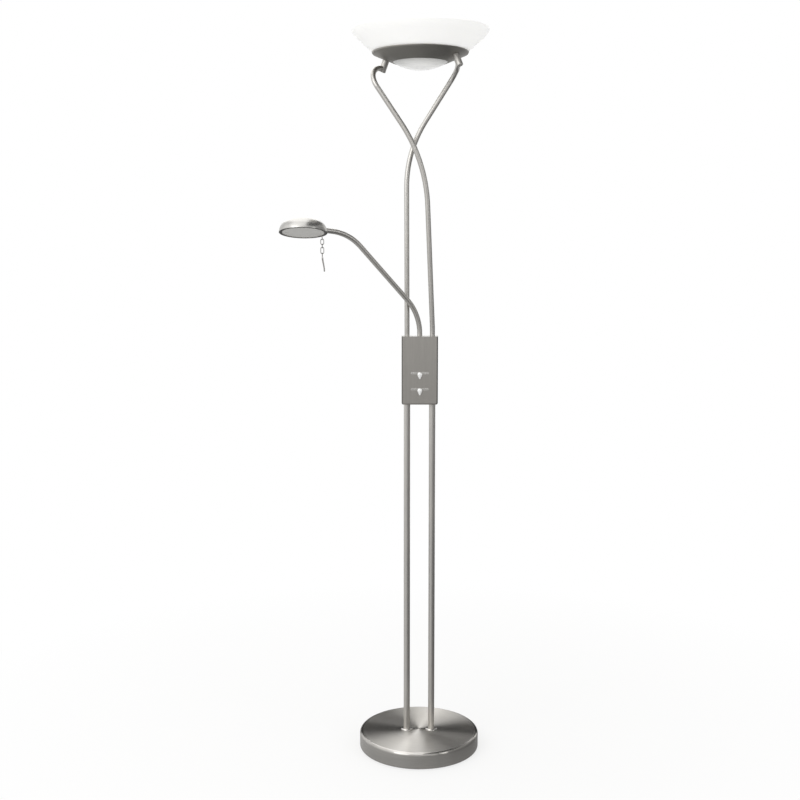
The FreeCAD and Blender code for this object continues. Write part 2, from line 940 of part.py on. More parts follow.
def box_screws(growth=0.0):
    """Screws through the back plate into the chassis."""
    screws = []
    plate_back = back_plate_front + back_plate_sheet
    for x in (-box_screw_spread / 2, box_screw_spread / 2):
        for z in (box_bottom + box_screw_inset, box_top - box_screw_inset):
            screws.append(screw(Vector(x, plate_back, z), along_y * -1, growth))
    return screws


def make_box_back_plate():
    """Flat plate that closes the box at the back."""
    half = box_half - cover_sheet - panel_gap
    plate = block(
        (-half, half),
        (back_plate_front, back_plate_front + back_plate_sheet),
        (box_bottom + cover_sheet + cover_corner_round, top_plate_bottom - panel_gap),
    )
    for cutter in box_screws(turned_fit):
        plate = plate.cut(cutter)
    return plate


def make_box_top_plate():
    """Bright plate let into the top, with holes for both tubes and the arm."""
    half = box_half - cover_sheet - panel_gap / 2
    front = box_front + cover_sheet + panel_gap / 2
    plate = block((-half, half), (front, box_back), (top_plate_bottom, box_top))
    corner_edges = []
    for edge in plate.Edges:
        box = edge.BoundBox
        if box.ZLength > top_plate_sheet / 2 and box.YMax < 0:
            corner_edges.append(edge)
    plate = plate.makeFillet(cover_front_round - cover_sheet, corner_edges)
    for place in pole_places + (axis_point,):
        hole_start = place + up * (box_top - overrun)
        plate = plate.cut(rod(tube_radius + loose_fit, 2 * overrun, hole_start))
    return plate


def make_dimmer_board():
    """Circuit board behind the slots."""
    half = board_width / 2
    return block((-half, half), (board_front, board_back), (board_bottom, board_top))


def make_board_spacers():
    """Spacers between the board and the chassis."""
    spacers = []
    for x in (-spacer_spread / 2, spacer_spread / 2):
        for level in spacer_levels:
            start = Vector(x, board_back, level)
            spacers.append(rod(spacer_radius, chassis_back_front - board_back, start, along_y))
    return group(spacers)


def make_slide_controls():
    """Bodies of the two slide controls, each with an open channel."""
    half = pot_length / 2
    channel_half = slider_travel + carriage_length / 2 + channel_spare
    bodies = []
    for level in slot_levels:
        body = block(
            (-half, half), (pot_front, board_front), (level - pot_height / 2, level + pot_height / 2)
        )
        channel = block(
            (-channel_half, channel_half),
            (pot_front, pot_front + pot_channel_depth),
            (level - pot_channel_height / 2, level + pot_channel_height / 2),
        )
        bodies.append(body.cut(channel))
    return group(bodies)


def make_slider_lever(level):
    """Carriage and flat lever of a slide control."""
    carriage_front = pot_front + pot_channel_depth - loose_fit - carriage_depth
    carriage = block(
        (-carriage_length / 2, carriage_length / 2),
        (carriage_front, carriage_front + carriage_depth),
        (level - carriage_height / 2, level + carriage_height / 2),
    )
    lever = block(
        (-stem_width / 2, stem_width / 2),
        (box_front - knob_face_gap - knob_socket_depth, carriage_front + carriage_depth),
        (level - stem_thickness / 2, level + stem_thickness / 2),
    )
    return carriage.fuse(lever).removeSplitter()


def make_slider_knob(level):
    """Half-round tapered knob pushed on its lever, point down."""
    rear = box_front - knob_face_gap
    top = level + stem_thickness / 2 + knob_above_lever
    bottom = top - knob_length
    centre = Vector(0, rear, bottom)
    body = Part.makeCone(knob_tip_radius, knob_radius, knob_length, centre, up)
    body = body.fuse(Part.makeSphere(knob_tip_radius, centre)).removeSplitter()
    reach = knob_radius + overrun
    behind = block((-reach, reach), (rear, rear + reach), (bottom - reach, top + reach))
    body = body.cut(behind)
    top_edges = []
    for edge in body.Edges:
        box = edge.BoundBox
        curved = box.YLength > 1 and box.XLength > 1
        if curved and abs(box.ZMin - top) < turned_fit:
            top_edges.append(edge)
    body = body.makeFillet(knob_top_round, top_edges)
    return body.cut(make_slider_lever(level))


def make_dimmer_chokes():
    """Two ring chokes on the back of the board."""
    chokes = []
    for x in (-choke_spread / 2, choke_spread / 2):
        start = Vector(x, board_back, choke_level)
        choke = pipe(choke_outer_radius, choke_inner_radius, choke_height, start, along_y)
        rims = [edge for edge in choke.Edges if edge.BoundBox.YLength < turned_fit]
        chokes.append(choke.makeFillet(choke_round, rims))
    return group(chokes)


def make_dimmer_triacs():
    """Two power switches on the back of the board."""
    triacs = []
    half = triac_width / 2
    for x in (-triac_spread / 2, triac_spread / 2):
        body = block(
            (x - half, x + half),
            (board_back, board_back + triac_thickness),
            (triac_level, triac_level + triac_height),
        )
        hole_start = Vector(x, board_back, triac_level + triac_hole_height)
        triacs.append(body.cut(rod(triac_hole_radius, triac_thickness, hole_start, along_y)))
    return group(triacs)


def make_terminal_block():
    """Block with screw ways along its front."""
    half = terminal_width / 2
    body = block((-half, half), (terminal_front, terminal_back), (terminal_bottom, terminal_top))
    pitch = terminal_width / terminal_ways
    for index in range(terminal_ways):
        x = -half + pitch * (index + 0.5)
        start = Vector(x, terminal_front, terminal_bottom + terminal_height / 2)
        body = body.cut(rod(terminal_hole_radius, terminal_hole_depth, start, along_y))
    return body


# ---------------------------------------------------------------------------
# Upper tubes, posts, ring and glass
# ---------------------------------------------------------------------------

def shortened(points, gap):
    """The same points with the last one drawn back along its run."""
    last_run = unit(points[-1] - points[-2])
    return points[:-1] + [points[-1] - last_run * gap]


def make_upper_tube(side):
    """Bent tube from the box to its post."""
    points = shortened(tube_points(side), tube_end_gap)
    return bent_tube(points, tube_bends(side), tube_radius, tube_radius - tube_wall)


def make_ring_post(side):
    """Post under the ring, with a threaded spigot and a side socket."""
    seat, direction = post_frame(post_angles[side])
    post = rod(post_radius, post_length, seat, direction)
    end = seat + direction * post_length
    far_edges = []
    for edge in post.Edges:
        if (edge.BoundBox.Center - end).Length < post_end_round:
            far_edges.append(edge)
    post = post.makeFillet(post_end_round, far_edges)
    post = post.fuse(rod(pipe_radius, spigot_length, seat, direction * -1))
    points = tube_points(side)
    entry = points[-1]
    inward = unit(points[-1] - points[-2])
    socket_start = entry - inward * (post_radius + overrun)
    socket_length = post_radius + overrun - tube_end_gap
    post = post.cut(rod(tube_radius + turned_fit, socket_length, socket_start, inward))
    cross_start = entry - inward * (tube_end_gap + turned_fit)
    post = post.cut(rod(post_bore_radius, tube_end_gap + turned_fit, cross_start, inward))
    bore_start = seat - direction * spigot_length
    bore_length = spigot_length + post_entry + post_bore_radius
    return post.cut(rod(post_bore_radius, bore_length, bore_start, direction)).removeSplitter()


def ring_profile_arc(depth):
    """Arc between the cone and the lip, a depth inside the outer face."""
    tangent = ring_bend * math.tan((math.pi / 2 - cone_slope) / 2)
    centre = rz(ring_outer_radius - ring_bend, cone_outer_level + tangent)
    radius = ring_bend - depth
    low_angle = math.degrees(cone_slope) - 90
    start = corner_middle(centre, radius, low_angle)
    return arc(start, corner_middle(centre, radius, low_angle / 2), corner_middle(centre, radius, 0))


def make_gallery_ring():
    """Conical pan with a lip that holds the glass."""
    outer = ring_profile_arc(0.0)
    inner = ring_profile_arc(ring_sheet)
    outer_low, outer_high = outer.firstVertex().Point, outer.lastVertex().Point
    inner_low, inner_high = inner.firstVertex().Point, inner.lastVertex().Point
    edges = [outer, inner]
    edges += polygon_edges([
        outer_high,
        rz(ring_outer_radius, ring_top),
        rz(ring_outer_radius - ring_sheet, ring_top),
        inner_high,
    ])
    edges += polygon_edges([
        inner_low,
        rz(ring_inner_radius, cone_upside(ring_inner_radius)),
        rz(ring_inner_radius, cone_inner_level),
        outer_low,
    ])
    ring = turned(Part.__sortEdges__(edges))
    for side in ("left", "right"):
        seat, direction = post_frame(post_angles[side])
        start = seat + direction * overrun
        hole = rod(pipe_radius + pipe_hole_clearance, 2 * overrun, start, direction * -1)
        ring = ring.cut(hole)
    return ring


def below_ring():
    """Cutter that trims a piece to the ring's sloping upper face."""
    return turned_polygon([
        rz(0, cone_inner_level - overrun),
        rz(ring_outer_radius, cone_inner_level - overrun),
        rz(ring_outer_radius, cone_upside(ring_outer_radius) + cone_seat_gap),
        rz(ring_inner_radius, cone_upside(ring_inner_radius) + cone_seat_gap),
        rz(0, cone_upside(ring_inner_radius) + cone_seat_gap),
    ])


def make_glass_bowl():
    """Flared glass bowl, open in the middle, standing in the ring."""
    half = glass_thickness / 2
    foot_outer = ring_outer_radius - ring_sheet - bowl_lip_clearance
    foot_inner = foot_outer - bowl_foot_width
    start = rz(foot_outer - half / 2, ring_top + bowl_lip_clearance + half)
    end = rz(bowl_rim_radius - half, lamp_height - half)
    knee = rz(bowl_flare_radius, lamp_height - bowl_flare_drop)
    run = unit(knee - start)
    inward = Vector(-run.z, 0, run.x)
    turn = end - knee
    turn_radius = turn.dot(turn) / (2 * inward.dot(turn))
    centre = knee + inward * turn_radius
    middle = centre + unit(unit(knee - centre) + unit(end - centre)) * turn_radius

    def outside(point, distance):
        return point + unit(point - centre) * distance

    def beside_run(distance):
        return start - inward * distance

    beyond = unit(end - centre)
    over_rim = end + Vector(-beyond.z, 0, beyond.x) * half
    edges = [
        line(beside_run(half), outside(knee, half)),
        arc(outside(knee, half), outside(middle, half), outside(end, half)),
        arc(outside(end, half), over_rim, outside(end, -half)),
        arc(outside(end, -half), outside(middle, -half), outside(knee, -half)),
        line(outside(knee, -half), beside_run(-half)),
    ]
    edges += polygon_edges([
        beside_run(-half),
        rz(foot_inner, cone_upside(foot_inner) + glass_thickness),
        rz(foot_inner, cone_upside(foot_inner) + cone_seat_gap),
        rz(foot_outer - bowl_foot_chamfer, cone_upside(foot_outer - bowl_foot_chamfer) + cone_seat_gap),
        rz(foot_outer, cone_upside(foot_outer) + bowl_foot_chamfer),
        beside_run(half),
    ])
    return turned(edges)


def make_centre_diffuser():
    """Shallow frosted dome that hangs in the hole of the ring."""
    edge_radius = ring_inner_radius - diffuser_clearance
    lowest = cone_inner_level - diffuser_drop
    edge_level = cone_inner_level + diffuser_clearance
    sagitta = edge_level - lowest
    sphere = (edge_radius ** 2 + sagitta ** 2) / (2 * sagitta)
    centre_level = lowest + sphere
    inner_sphere = sphere - diffuser_thickness
    half_angle = math.asin(edge_radius / sphere)

    def on_sphere(radius, angle):
        return rz(radius * math.sin(angle), centre_level - radius * math.cos(angle))

    flange_outer = ring_inner_radius + diffuser_flange
    flange_lower = rz(ring_inner_radius, cone_upside(ring_inner_radius) + cone_seat_gap)
    flange_tip = rz(flange_outer, cone_upside(flange_outer) + cone_seat_gap)
    flange_tip_top = rz(flange_outer, cone_upside(flange_outer) + diffuser_thickness)
    edges = [
        arc(on_sphere(sphere, 0), on_sphere(sphere, half_angle / 2), on_sphere(sphere, half_angle)),
        line(on_sphere(sphere, half_angle), flange_lower),
        line(flange_lower, flange_tip),
        line(flange_tip, flange_tip_top),
        line(flange_tip_top, on_sphere(inner_sphere, half_angle)),
        arc(
            on_sphere(inner_sphere, half_angle),
            on_sphere(inner_sphere, half_angle / 2),
            on_sphere(inner_sphere, 0),
        ),
        line(on_sphere(inner_sphere, 0), on_sphere(sphere, 0)),
    ]
    return turned(edges)


def make_diffuser_clips():
    """Strips that press the diffuser's flange on the ring."""
    flange_outer = ring_inner_radius + diffuser_flange
    over = cone_upside(flange_outer) + diffuser_thickness + turned_fit
    step = flange_outer + clip_step
    lower = [
        rz(flange_outer - clip_overlap, over),
        rz(step, over),
        rz(step + clip_step, cone_upside(step + clip_step)),
        rz(clip_reach, cone_upside(clip_reach)),
    ]
    lift = up * clip_thickness
    upper = [point + lift for point in reversed(lower)]
    outline = lower + upper
    face = Part.Face(Part.Wire(polygon_edges(outline + outline[:1])))
    clip = face.extrude(Vector(0, clip_width, 0))
    clip.translate(Vector(0, -clip_width / 2, 0))
    clip = clip.cut(below_ring())
    return group([turned_about_z(clip, angle) for angle in clip_angles])


# ---------------------------------------------------------------------------
# Uplighter lamp
# ---------------------------------------------------------------------------

bracket_level = cone_upside(bracket_half_length) + bracket_height


def make_lamp_bracket():
    """Strip across the ring on two feet."""
    half = bracket_width / 2
    reach = bracket_half_length
    strip = block((-reach, reach), (-half, half), (bracket_level, bracket_level + bracket_sheet))
    feet = []
    for x in ((-reach, -reach + bracket_foot_length), (reach - bracket_foot_length, reach)):
        feet.append(block(x, (-half, half), (cone_inner_level, bracket_level)))
    bracket = strip.fuse(feet)
    bracket = bracket.removeSplitter().cut(below_ring())
    return turned_about_z(bracket, bracket_angle)


def make_lampholders():
    """Two ceramic holders that face each other."""
    base = bracket_level + bracket_sheet
    half = holder_width / 2
    body = block(
        (holder_inner_distance, holder_inner_distance + holder_length),
        (-half, half),
        (base, base + holder_height),
    )
    socket_start = Vector(holder_inner_distance, 0, base + bulb_height)
    body = body.cut(rod(holder_socket_radius, holder_socket_depth, socket_start, along_x))
    holders = []
    for turn in (0, 180):
        holders.append(turned_about_z(body, bracket_angle + turn))
    return group(holders)


def make_halogen_tube():
    """Double-ended lamp between the holders."""
    level = bracket_level + bracket_sheet + bulb_height
    glass_start = Vector(-bulb_glass_half_length, 0, level)
    glass = rod(bulb_radius, 2 * bulb_glass_half_length, glass_start, along_x)
    pin_reach = holder_inner_distance + holder_socket_depth - bulb_pin_gap
    pins = rod(bulb_pin_radius, 2 * pin_reach, Vector(-pin_reach, 0, level), along_x)
    return turned_about_z(glass.fuse(pins).removeSplitter(), bracket_angle)


def uplighter_lead_points():
    """Route from the terminal block through the left tube to the near holder."""
    tube = tube_points("left")
    seat, direction = post_frame(post_angles["left"])
    holder_back = holder_inner_distance + holder_length
    level = bracket_level + bracket_sheet + bulb_height
    out_of_spigot = seat - direction * (spigot_length + 8)
    return [
        Vector(-2, terminal_middle, terminal_top),
        Vector(-2, terminal_middle, board_top - 26),
        Vector(-pole_x, 0, chassis_ceiling - 36),
        tube[1],
        tube[2],
        tube[3],
        tube[4],
        out_of_spigot,
        polar(holder_back + 12, bracket_angle, level),
        polar(holder_back, bracket_angle, level),
    ]


def make_uplighter_lead():
    """Lead that feeds the uplighter lamp."""
    bends = [14, 14] + tube_bends("left") + [4.4, 12, 8]
    return bent_rod(uplighter_lead_points(), bends, lamp_lead_radius)


# ---------------------------------------------------------------------------
# Reading arm
# ---------------------------------------------------------------------------

def arm_points():
    """Bend points of the arm, from its foot in the box to the head."""
    tube_end = arm_end_point(head_reach) - arm_direction * arm_tube_end
    return [
        up * arm_foot,
        up * (box_top + arm_rise),
        arm_end_point(arm_upper_reach),
        tube_end,
    ]


arm_bends = [arm_lower_bend, arm_upper_bend]


def make_arm_bush():
    """Flanged bush in the chassis that the arm turns in."""
    body = rod(bush_radius, bush_length, up * bush_bottom)
    flange = rod(bush_flange_radius, top_gap, up * chassis_top)
    bush = body.fuse(flange)
    bush = bush.cut(rod(tube_radius + turned_fit, box_height, up * box_bottom))
    recess = rod(bush_recess_radius, bush_recess_depth, up * recess_floor)
    return bush.cut(recess).removeSplitter()


def make_arm_tube():
    """Bent tube of the reading arm, with the ring that carries its weight."""
    tube = bent_rod(arm_points(), arm_bends, tube_radius)
    collar = rod(arm_ring_radius, arm_ring_height, up * recess_floor)
    solid = tube.fuse(collar)
    return solid.cut(bent_rod(arm_points(), arm_bends, tube_radius - tube_wall))


def make_arm_washer():
    """Spring washer that gives the arm its drag."""
    return pipe(
        arm_washer_radius, tube_radius + turned_fit, arm_washer_thickness, up * arm_washer_bottom
    )


def make_arm_nut():
    """Nut on the foot of the arm."""
    bore = tube_radius + turned_fit
    return hexagon(arm_nut_across_flats, arm_nut_height, up * arm_nut_bottom, up, bore)


lead_joint_level = arm_foot - arm_lead_tail


def make_arm_lead_tail():
    """Lead from the terminal block to the foot of the arm."""
    points = [
        Vector(6, terminal_middle, terminal_top),
        Vector(6, terminal_middle, board_top - 30),
        Vector(0, 0, lead_joint_level - 10),
        Vector(0, 0, lead_joint_level - loose_fit),
    ]
    return bent_rod(points, [14, 10], lamp_lead_radius)


def swivel_lead_end():
    """Distance from the head's middle where the arm's lead stops."""
    return head_holder_outer + loose_fit


def make_arm_lead():
    """Lead inside the arm, up to the head's lampholder."""
    points = arm_points()
    points[0] = up * lead_joint_level
    points[-1] = arm_end_point(head_reach) - arm_direction * swivel_lead_end()
    return bent_rod(points, arm_bends, lamp_lead_radius)


# ---------------------------------------------------------------------------
# Head swivel, drawn in the head's frame
# ---------------------------------------------------------------------------

swivel_nut_inner = swivel_bush_inner - head_bracket_sheet - swivel_nut_height
swivel_pipe_inner = swivel_nut_inner - swivel_pipe_tail
head_holder_outer = swivel_pipe_inner - head_holder_gap
head_holder_inner = head_holder_outer - head_holder_length


def swivel_start(distance):
    """A point of the roll axis, by its distance from the head's middle."""
    return Vector(-distance, 0, head_axis_height)


def make_swivel_pipe():
    """Hollow threaded pipe fixed in the arm's end."""
    outer = arm_tube_end + swivel_pipe_engagement
    length = outer - swivel_pipe_inner
    piece = pipe(pipe_radius, pipe_bore_radius, length, swivel_start(outer), along_x)
    return in_head(piece)


def make_swivel_nut():
    """Nut that closes the swivel."""
    bore = pipe_radius + turned_fit
    start = swivel_start(swivel_nut_inner + swivel_nut_height)
    return in_head(hexagon(swivel_nut_across_flats, swivel_nut_height, start, along_x, bore))


def make_swivel_bush():
    """Bush fixed in the side of the head's shell."""
    bore = pipe_radius + turned_fit
    start = swivel_start(swivel_bush_outer)
    return in_head(pipe(swivel_bush_radius, bore, swivel_bush_length, start, along_x))


# ---------------------------------------------------------------------------
# Reading head
# ---------------------------------------------------------------------------

shoulder_centre = head_radius - head_shoulder_radius
crown_radius = (head_radius ** 2 + head_height ** 2 - 2 * head_radius * head_shoulder_radius) / (
    2 * (head_height - head_shoulder_radius)
)
crown_centre = head_height - crown_radius


def shell_inner_radius(level):
    """Radius inside the shell at a height above the rim."""
    return shoulder_centre + math.sqrt((head_shoulder_radius - head_sheet) ** 2 - level ** 2)


def dome_edges(depth):
    """Shoulder and crown arcs of the dome, a depth inside its outer face."""
    shoulder = head_shoulder_radius - depth
    crown = crown_radius - depth
    meet = math.atan2(-crown_centre, shoulder_centre)

    def on_shoulder(angle):
        return rz(shoulder_centre + shoulder * math.cos(angle), shoulder * math.sin(angle))

    def on_crown(angle):
        return rz(crown * math.cos(angle), crown_centre + crown * math.sin(angle))

    half_way = (meet + math.pi / 2) / 2
    return [
        arc(on_shoulder(0), on_shoulder(meet / 2), on_shoulder(meet)),
        arc(on_shoulder(meet), on_crown(half_way), on_crown(math.pi / 2)),
    ]


def make_head_shell():
    """Domed metal shell."""
    edges = dome_edges(0.0)
    edges.append(line(rz(0, head_height), rz(0, head_height - head_sheet)))
    edges += list(reversed(dome_edges(head_sheet)))
    edges.append(line(rz(head_radius - head_sheet, 0), rz(head_radius, 0)))
    shell = turned(edges)
    hole_start = swivel_start(head_radius + overrun)
    shell = shell.cut(rod(swivel_bush_radius + turned_fit, head_radius, hole_start, along_x))
    return in_head(shell)


# The eyelet is screwed into the middle of the lens ring's wall.
lens_ring_outer = shell_inner_radius(lens_ring_height) - turned_fit
lens_ring_inner = lens_ring_outer - lens_ring_wall
lens_radius = lens_ring_inner - lens_clearance
eyelet_distance = lens_ring_outer - lens_ring_wall / 2
eyelet_turn = math.radians(eyelet_angle)
eyelet_seat = head_point(
    eyelet_distance * math.cos(eyelet_turn), eyelet_distance * math.sin(eyelet_turn), 0.0
)


def make_lens_ring():
    """Ring in the mouth of the shell that carries the lens and the reflector."""
    ledge_inner = lens_ring_inner - lens_ledge_width
    ring = turned_polygon([
        rz(ledge_inner, 0),
        rz(lens_ring_outer, 0),
        rz(lens_ring_outer, lens_ring_height),
        rz(lens_ring_inner, lens_ring_height),
        rz(lens_ring_inner, lens_ledge_thickness),
        rz(ledge_inner, lens_ledge_thickness),
    ])
    return in_head(ring).cut(eyelet_shank(turned_fit))


def make_head_lens():
    """Frosted glass disc."""
    return in_head(rod(lens_radius, lens_thickness, Vector(0, 0, lens_ledge_thickness)))


def make_head_reflector():
    """Thin dish above the bulb, notched for the lampholder."""
    flange_outer = lens_ring_outer - reflector_inset
    dish_radius = lens_ring_inner - reflector_flange
    low = lens_ring_height + turned_fit

    def bow(radius, height):
        return rz(radius * math.cos(math.pi / 4), low + height * math.sin(math.pi / 4))

    height = reflector_height - low
    thin = reflector_sheet
    edges = [
        line(rz(flange_outer, low), rz(flange_outer, low + thin)),
        line(rz(flange_outer, low + thin), rz(dish_radius, low + thin)),
        arc(rz(dish_radius, low + thin), bow(dish_radius, height), rz(0, low + height)),
        line(rz(0, low + height), rz(0, low + height - thin)),
        arc(
            rz(0, low + height - thin),
            bow(dish_radius - thin, height - thin),
            rz(dish_radius - thin, low),
        ),
        line(rz(dish_radius - thin, low), rz(flange_outer, low)),
    ]
    dish = turned(edges)
    notch_half = head_bracket_width / 2 + reflector_notch_gap
    notch_inner = head_holder_inner - reflector_notch_gap
    notch = block((-head_radius, -notch_inner), (-notch_half, notch_half), (0, head_height))
    return in_head(dish.cut(notch))


def make_head_bracket():
    """Angle strip that carries the lampholder from the swivel bush."""
    outer = swivel_bush_inner
    inner = outer - head_bracket_sheet
    top = head_axis_height + head_tongue_rise
    half = head_bracket_width / 2
    plate = block(
        (-outer, -inner), (-half, half), (head_axis_height - half, top + head_bracket_sheet)
    )
    tongue = block((-outer, -head_holder_inner), (-half, half), (top, top + head_bracket_sheet))
    strip = plate.fuse(tongue)
    start = swivel_start(outer + overrun)
    return in_head(strip.cut(rod(pipe_radius + turned_fit, 2 * overrun, start, along_x)))


def make_head_holder():
    """Ceramic lampholder under the bracket's tongue."""
    half = head_holder_width / 2
    high = head_axis_height + head_tongue_rise
    body = block(
        (-head_holder_outer, -head_holder_inner), (-half, half), (high - head_holder_height, high)
    )
    socket_start = swivel_start(head_holder_inner + head_socket_depth)
    return in_head(body.cut(rod(head_socket_radius, head_socket_depth, socket_start, along_x)))


def make_head_bulb():
    """Halogen capsule that lies along the roll axis."""
    base_start = swivel_start(head_holder_inner + head_socket_depth - head_bulb_gap)
    base = rod(head_bulb_base_radius, head_socket_depth, base_start, along_x)
    glass_start = swivel_start(head_holder_inner - head_bulb_gap)
    glass = rod(head_bulb_radius, head_bulb_length, glass_start, along_x)
    round_end = []
    for edge in glass.Edges:
        box = edge.BoundBox
        if box.XLength < turned_fit and box.XMin > glass_start.x + head_bulb_radius:
            round_end.append(edge)
    glass = glass.makeFillet(head_bulb_radius * 0.8, round_end)
    return in_head(base.fuse(glass).removeSplitter())


# ---------------------------------------------------------------------------
# Pull chain and handle, hanging straight down from the head's rim
# ---------------------------------------------------------------------------

# The first link's pivot is the middle of the eyelet's wire at its lowest point.
eyelet_centre = eyelet_seat + down * (eyelet_radius + eyelet_neck)
first_pivot = eyelet_centre + down * eyelet_radius
pivot_step = chain_wire_radius * 2 + chain_gap


def ring_of_wire(centre, radius, axis):
    """A round ring of wire."""
    return Part.makeTorus(radius, chain_wire_radius, centre, axis)


def oval_link(top_pivot, length, flat_direction):
    """A long link that hangs on the wire at top_pivot.

    flat_direction is square to the plane of the link.
    """
    middle_radius = link_inner_radius + chain_wire_radius
    top_centre = top_pivot + up * (pivot_step - middle_radius)
    straight = length - 2 * middle_radius - 2 * chain_wire_radius
    low_centre = top_centre + down * straight
    sideways = unit(up.cross(flat_direction))
    points = [
        top_centre + sideways * middle_radius,
        top_centre + up * middle_radius,
        top_centre - sideways * middle_radius,
        low_centre - sideways * middle_radius,
        low_centre + down * middle_radius,
        low_centre + sideways * middle_radius,
    ]
    bars = []
    for end_points in ((points[0], points[1], points[2]), (points[3], points[4], points[5])):
        route = Part.Wire([arc(*end_points)])
        side_sign = down if end_points[0] is points[3] else up
        bars.append(swept(route, chain_wire_radius, end_points[0], side_sign))
    for start in (points[3], points[5]):
        bars.append(rod(chain_wire_radius, straight, start, up))
    return bars[0].fuse(bars[1:]).removeSplitter()


def next_pivot(top_pivot, length):
    """Pivot at the bottom of a link, in the middle of its wire."""
    top_wire = top_pivot + up * pivot_step
    return top_wire + down * (length - 2 * chain_wire_radius)


second_pivot = next_pivot(first_pivot, upper_link_length)
third_pivot = next_pivot(second_pivot, middle_link_length)
handle_pivot = next_pivot(third_pivot, lower_link_length)


def eyelet_shank(growth):
    """The eyelet's straight part, grown a little when it is used as a cutter."""
    low = eyelet_centre + up * eyelet_radius
    run = eyelet_seat + head_z * eyelet_depth - low
    return rod(chain_wire_radius + growth, run.Length + growth, low, run)


def make_chain_eyelet():
    """Screw eye in the lens ring; its ring stands square to the first link."""
    ring = ring_of_wire(eyelet_centre, eyelet_radius, along_x)
    return ring.fuse(eyelet_shank(0.0)).removeSplitter()


def make_pull_handle():
    """Tapered rod with an eye at its top."""
    middle_radius = link_inner_radius + chain_wire_radius
    eye_centre = handle_pivot + up * (pivot_step - middle_radius)
    eye = ring_of_wire(eye_centre, middle_radius, along_x)
    rod_top = eye_centre + down * middle_radius
    rod_length = handle_length - 2 * middle_radius
    low = rod_top + down * rod_length
    shaft = Part.makeCone(handle_tip_radius, handle_top_radius, rod_length, low, up)
    tip = Part.makeSphere(handle_tip_radius, low)
    return eye.fuse([shaft, tip]).removeSplitter()


# ---------------------------------------------------------------------------
# Every piece by name
# ---------------------------------------------------------------------------

pieces = {
    "base_cover": make_base_cover(),
    "base_ballast": make_base_ballast(),
    "base_floor_plate": make_floor_plate(),
    "base_foam_pad": make_foam_pad(),
    "cable_gland": make_cable_gland(),
    "lead_clamp": make_lead_clamp(),
    "mains_lead": make_mains_lead(),
    "lower_pole_left": make_lower_pole(pole_places[0]),
    "lower_pole_right": make_lower_pole(pole_places[1]),
    "pole_collars": make_pole_collars(),
    "pole_end_bushes": make_pole_end_bushes(),
    "threaded_pipes": make_threaded_pipes(),
    "pipe_nuts": make_pipe_nuts(),
    "box_chassis": make_box_chassis(),
    "box_front_cover": make_box_cover(),
    "box_back_plate": make_box_back_plate(),
    "box_top_plate": make_box_top_plate(),
    "cover_screws": group(floor_screws() + box_screws()),
    "dimmer_board": make_dimmer_board(),
    "board_spacers": make_board_spacers(),
    "slide_controls": make_slide_controls(),
    "dimmer_chokes": make_dimmer_chokes(),
    "dimmer_triacs": make_dimmer_triacs(),
    "terminal_block": make_terminal_block(),
    "slider_lever_upper": make_slider_lever(slot_levels[0]),
    "slider_knob_upper": make_slider_knob(slot_levels[0]),
    "slider_lever_lower": make_slider_lever(slot_levels[1]),
    "slider_knob_lower": make_slider_knob(slot_levels[1]),
    "upper_tube_left": make_upper_tube("left"),
    "upper_tube_right": make_upper_tube("right"),
    "ring_post_near": make_ring_post("left"),
    "ring_post_far": make_ring_post("right"),
    "gallery_ring": make_gallery_ring(),
    "glass_bowl": make_glass_bowl(),
    "centre_diffuser": make_centre_diffuser(),
    "diffuser_clips": make_diffuser_clips(),
    "lamp_bracket": make_lamp_bracket(),
    "lampholders": make_lampholders(),
    "halogen_tube": make_halogen_tube(),
    "lamp_leads": group([make_uplighter_lead(), make_arm_lead_tail()]),
    "arm_bush": make_arm_bush(),
    "arm_tube": make_arm_tube(),
    "arm_spring_washer": make_arm_washer(),
    "arm_nut": make_arm_nut(),
    "arm_lead": make_arm_lead(),
    "head_swivel_pipe": make_swivel_pipe(),
    "head_swivel_nut": make_swivel_nut(),
    "head_swivel_bush": make_swivel_bush(),
    "head_shell": make_head_shell(),
    "head_lens_ring": make_lens_ring(),
    "head_lens": make_head_lens(),
    "head_reflector": make_head_reflector(),
    "head_bracket": make_head_bracket(),
    "head_lampholder": make_head_holder(),
    "head_bulb": make_head_bulb(),
    "chain_eyelet": make_chain_eyelet(),
    "chain_link_upper": oval_link(first_pivot, upper_link_length, along_y),
    "chain_link_middle": oval_link(second_pivot, middle_link_length, along_x),
    "chain_link_lower": oval_link(third_pivot, lower_link_length, along_y),
    "pull_handle": make_pull_handle(),
}

for name, shape in pieces.items():
    shape.exportStep("parts/" + name + ".step")

print(len(pieces), "pieces")
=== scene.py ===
"""A floor lamp with an uplighter bowl, a dimmer box and a reading light on an arm.

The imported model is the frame.  This file gives every part of it its finish, adds the
small parts that are only for the eye, and sets up a plain pale studio round it.
Sizes are in metres, +Z is up and the front of the dimmer box faces -Y.
"""

import logging
import math
from abc import ABC, abstractmethod
from dataclasses import dataclass, field
from enum import Enum

import bmesh
import bpy
from mathutils import Euler, Matrix, Vector


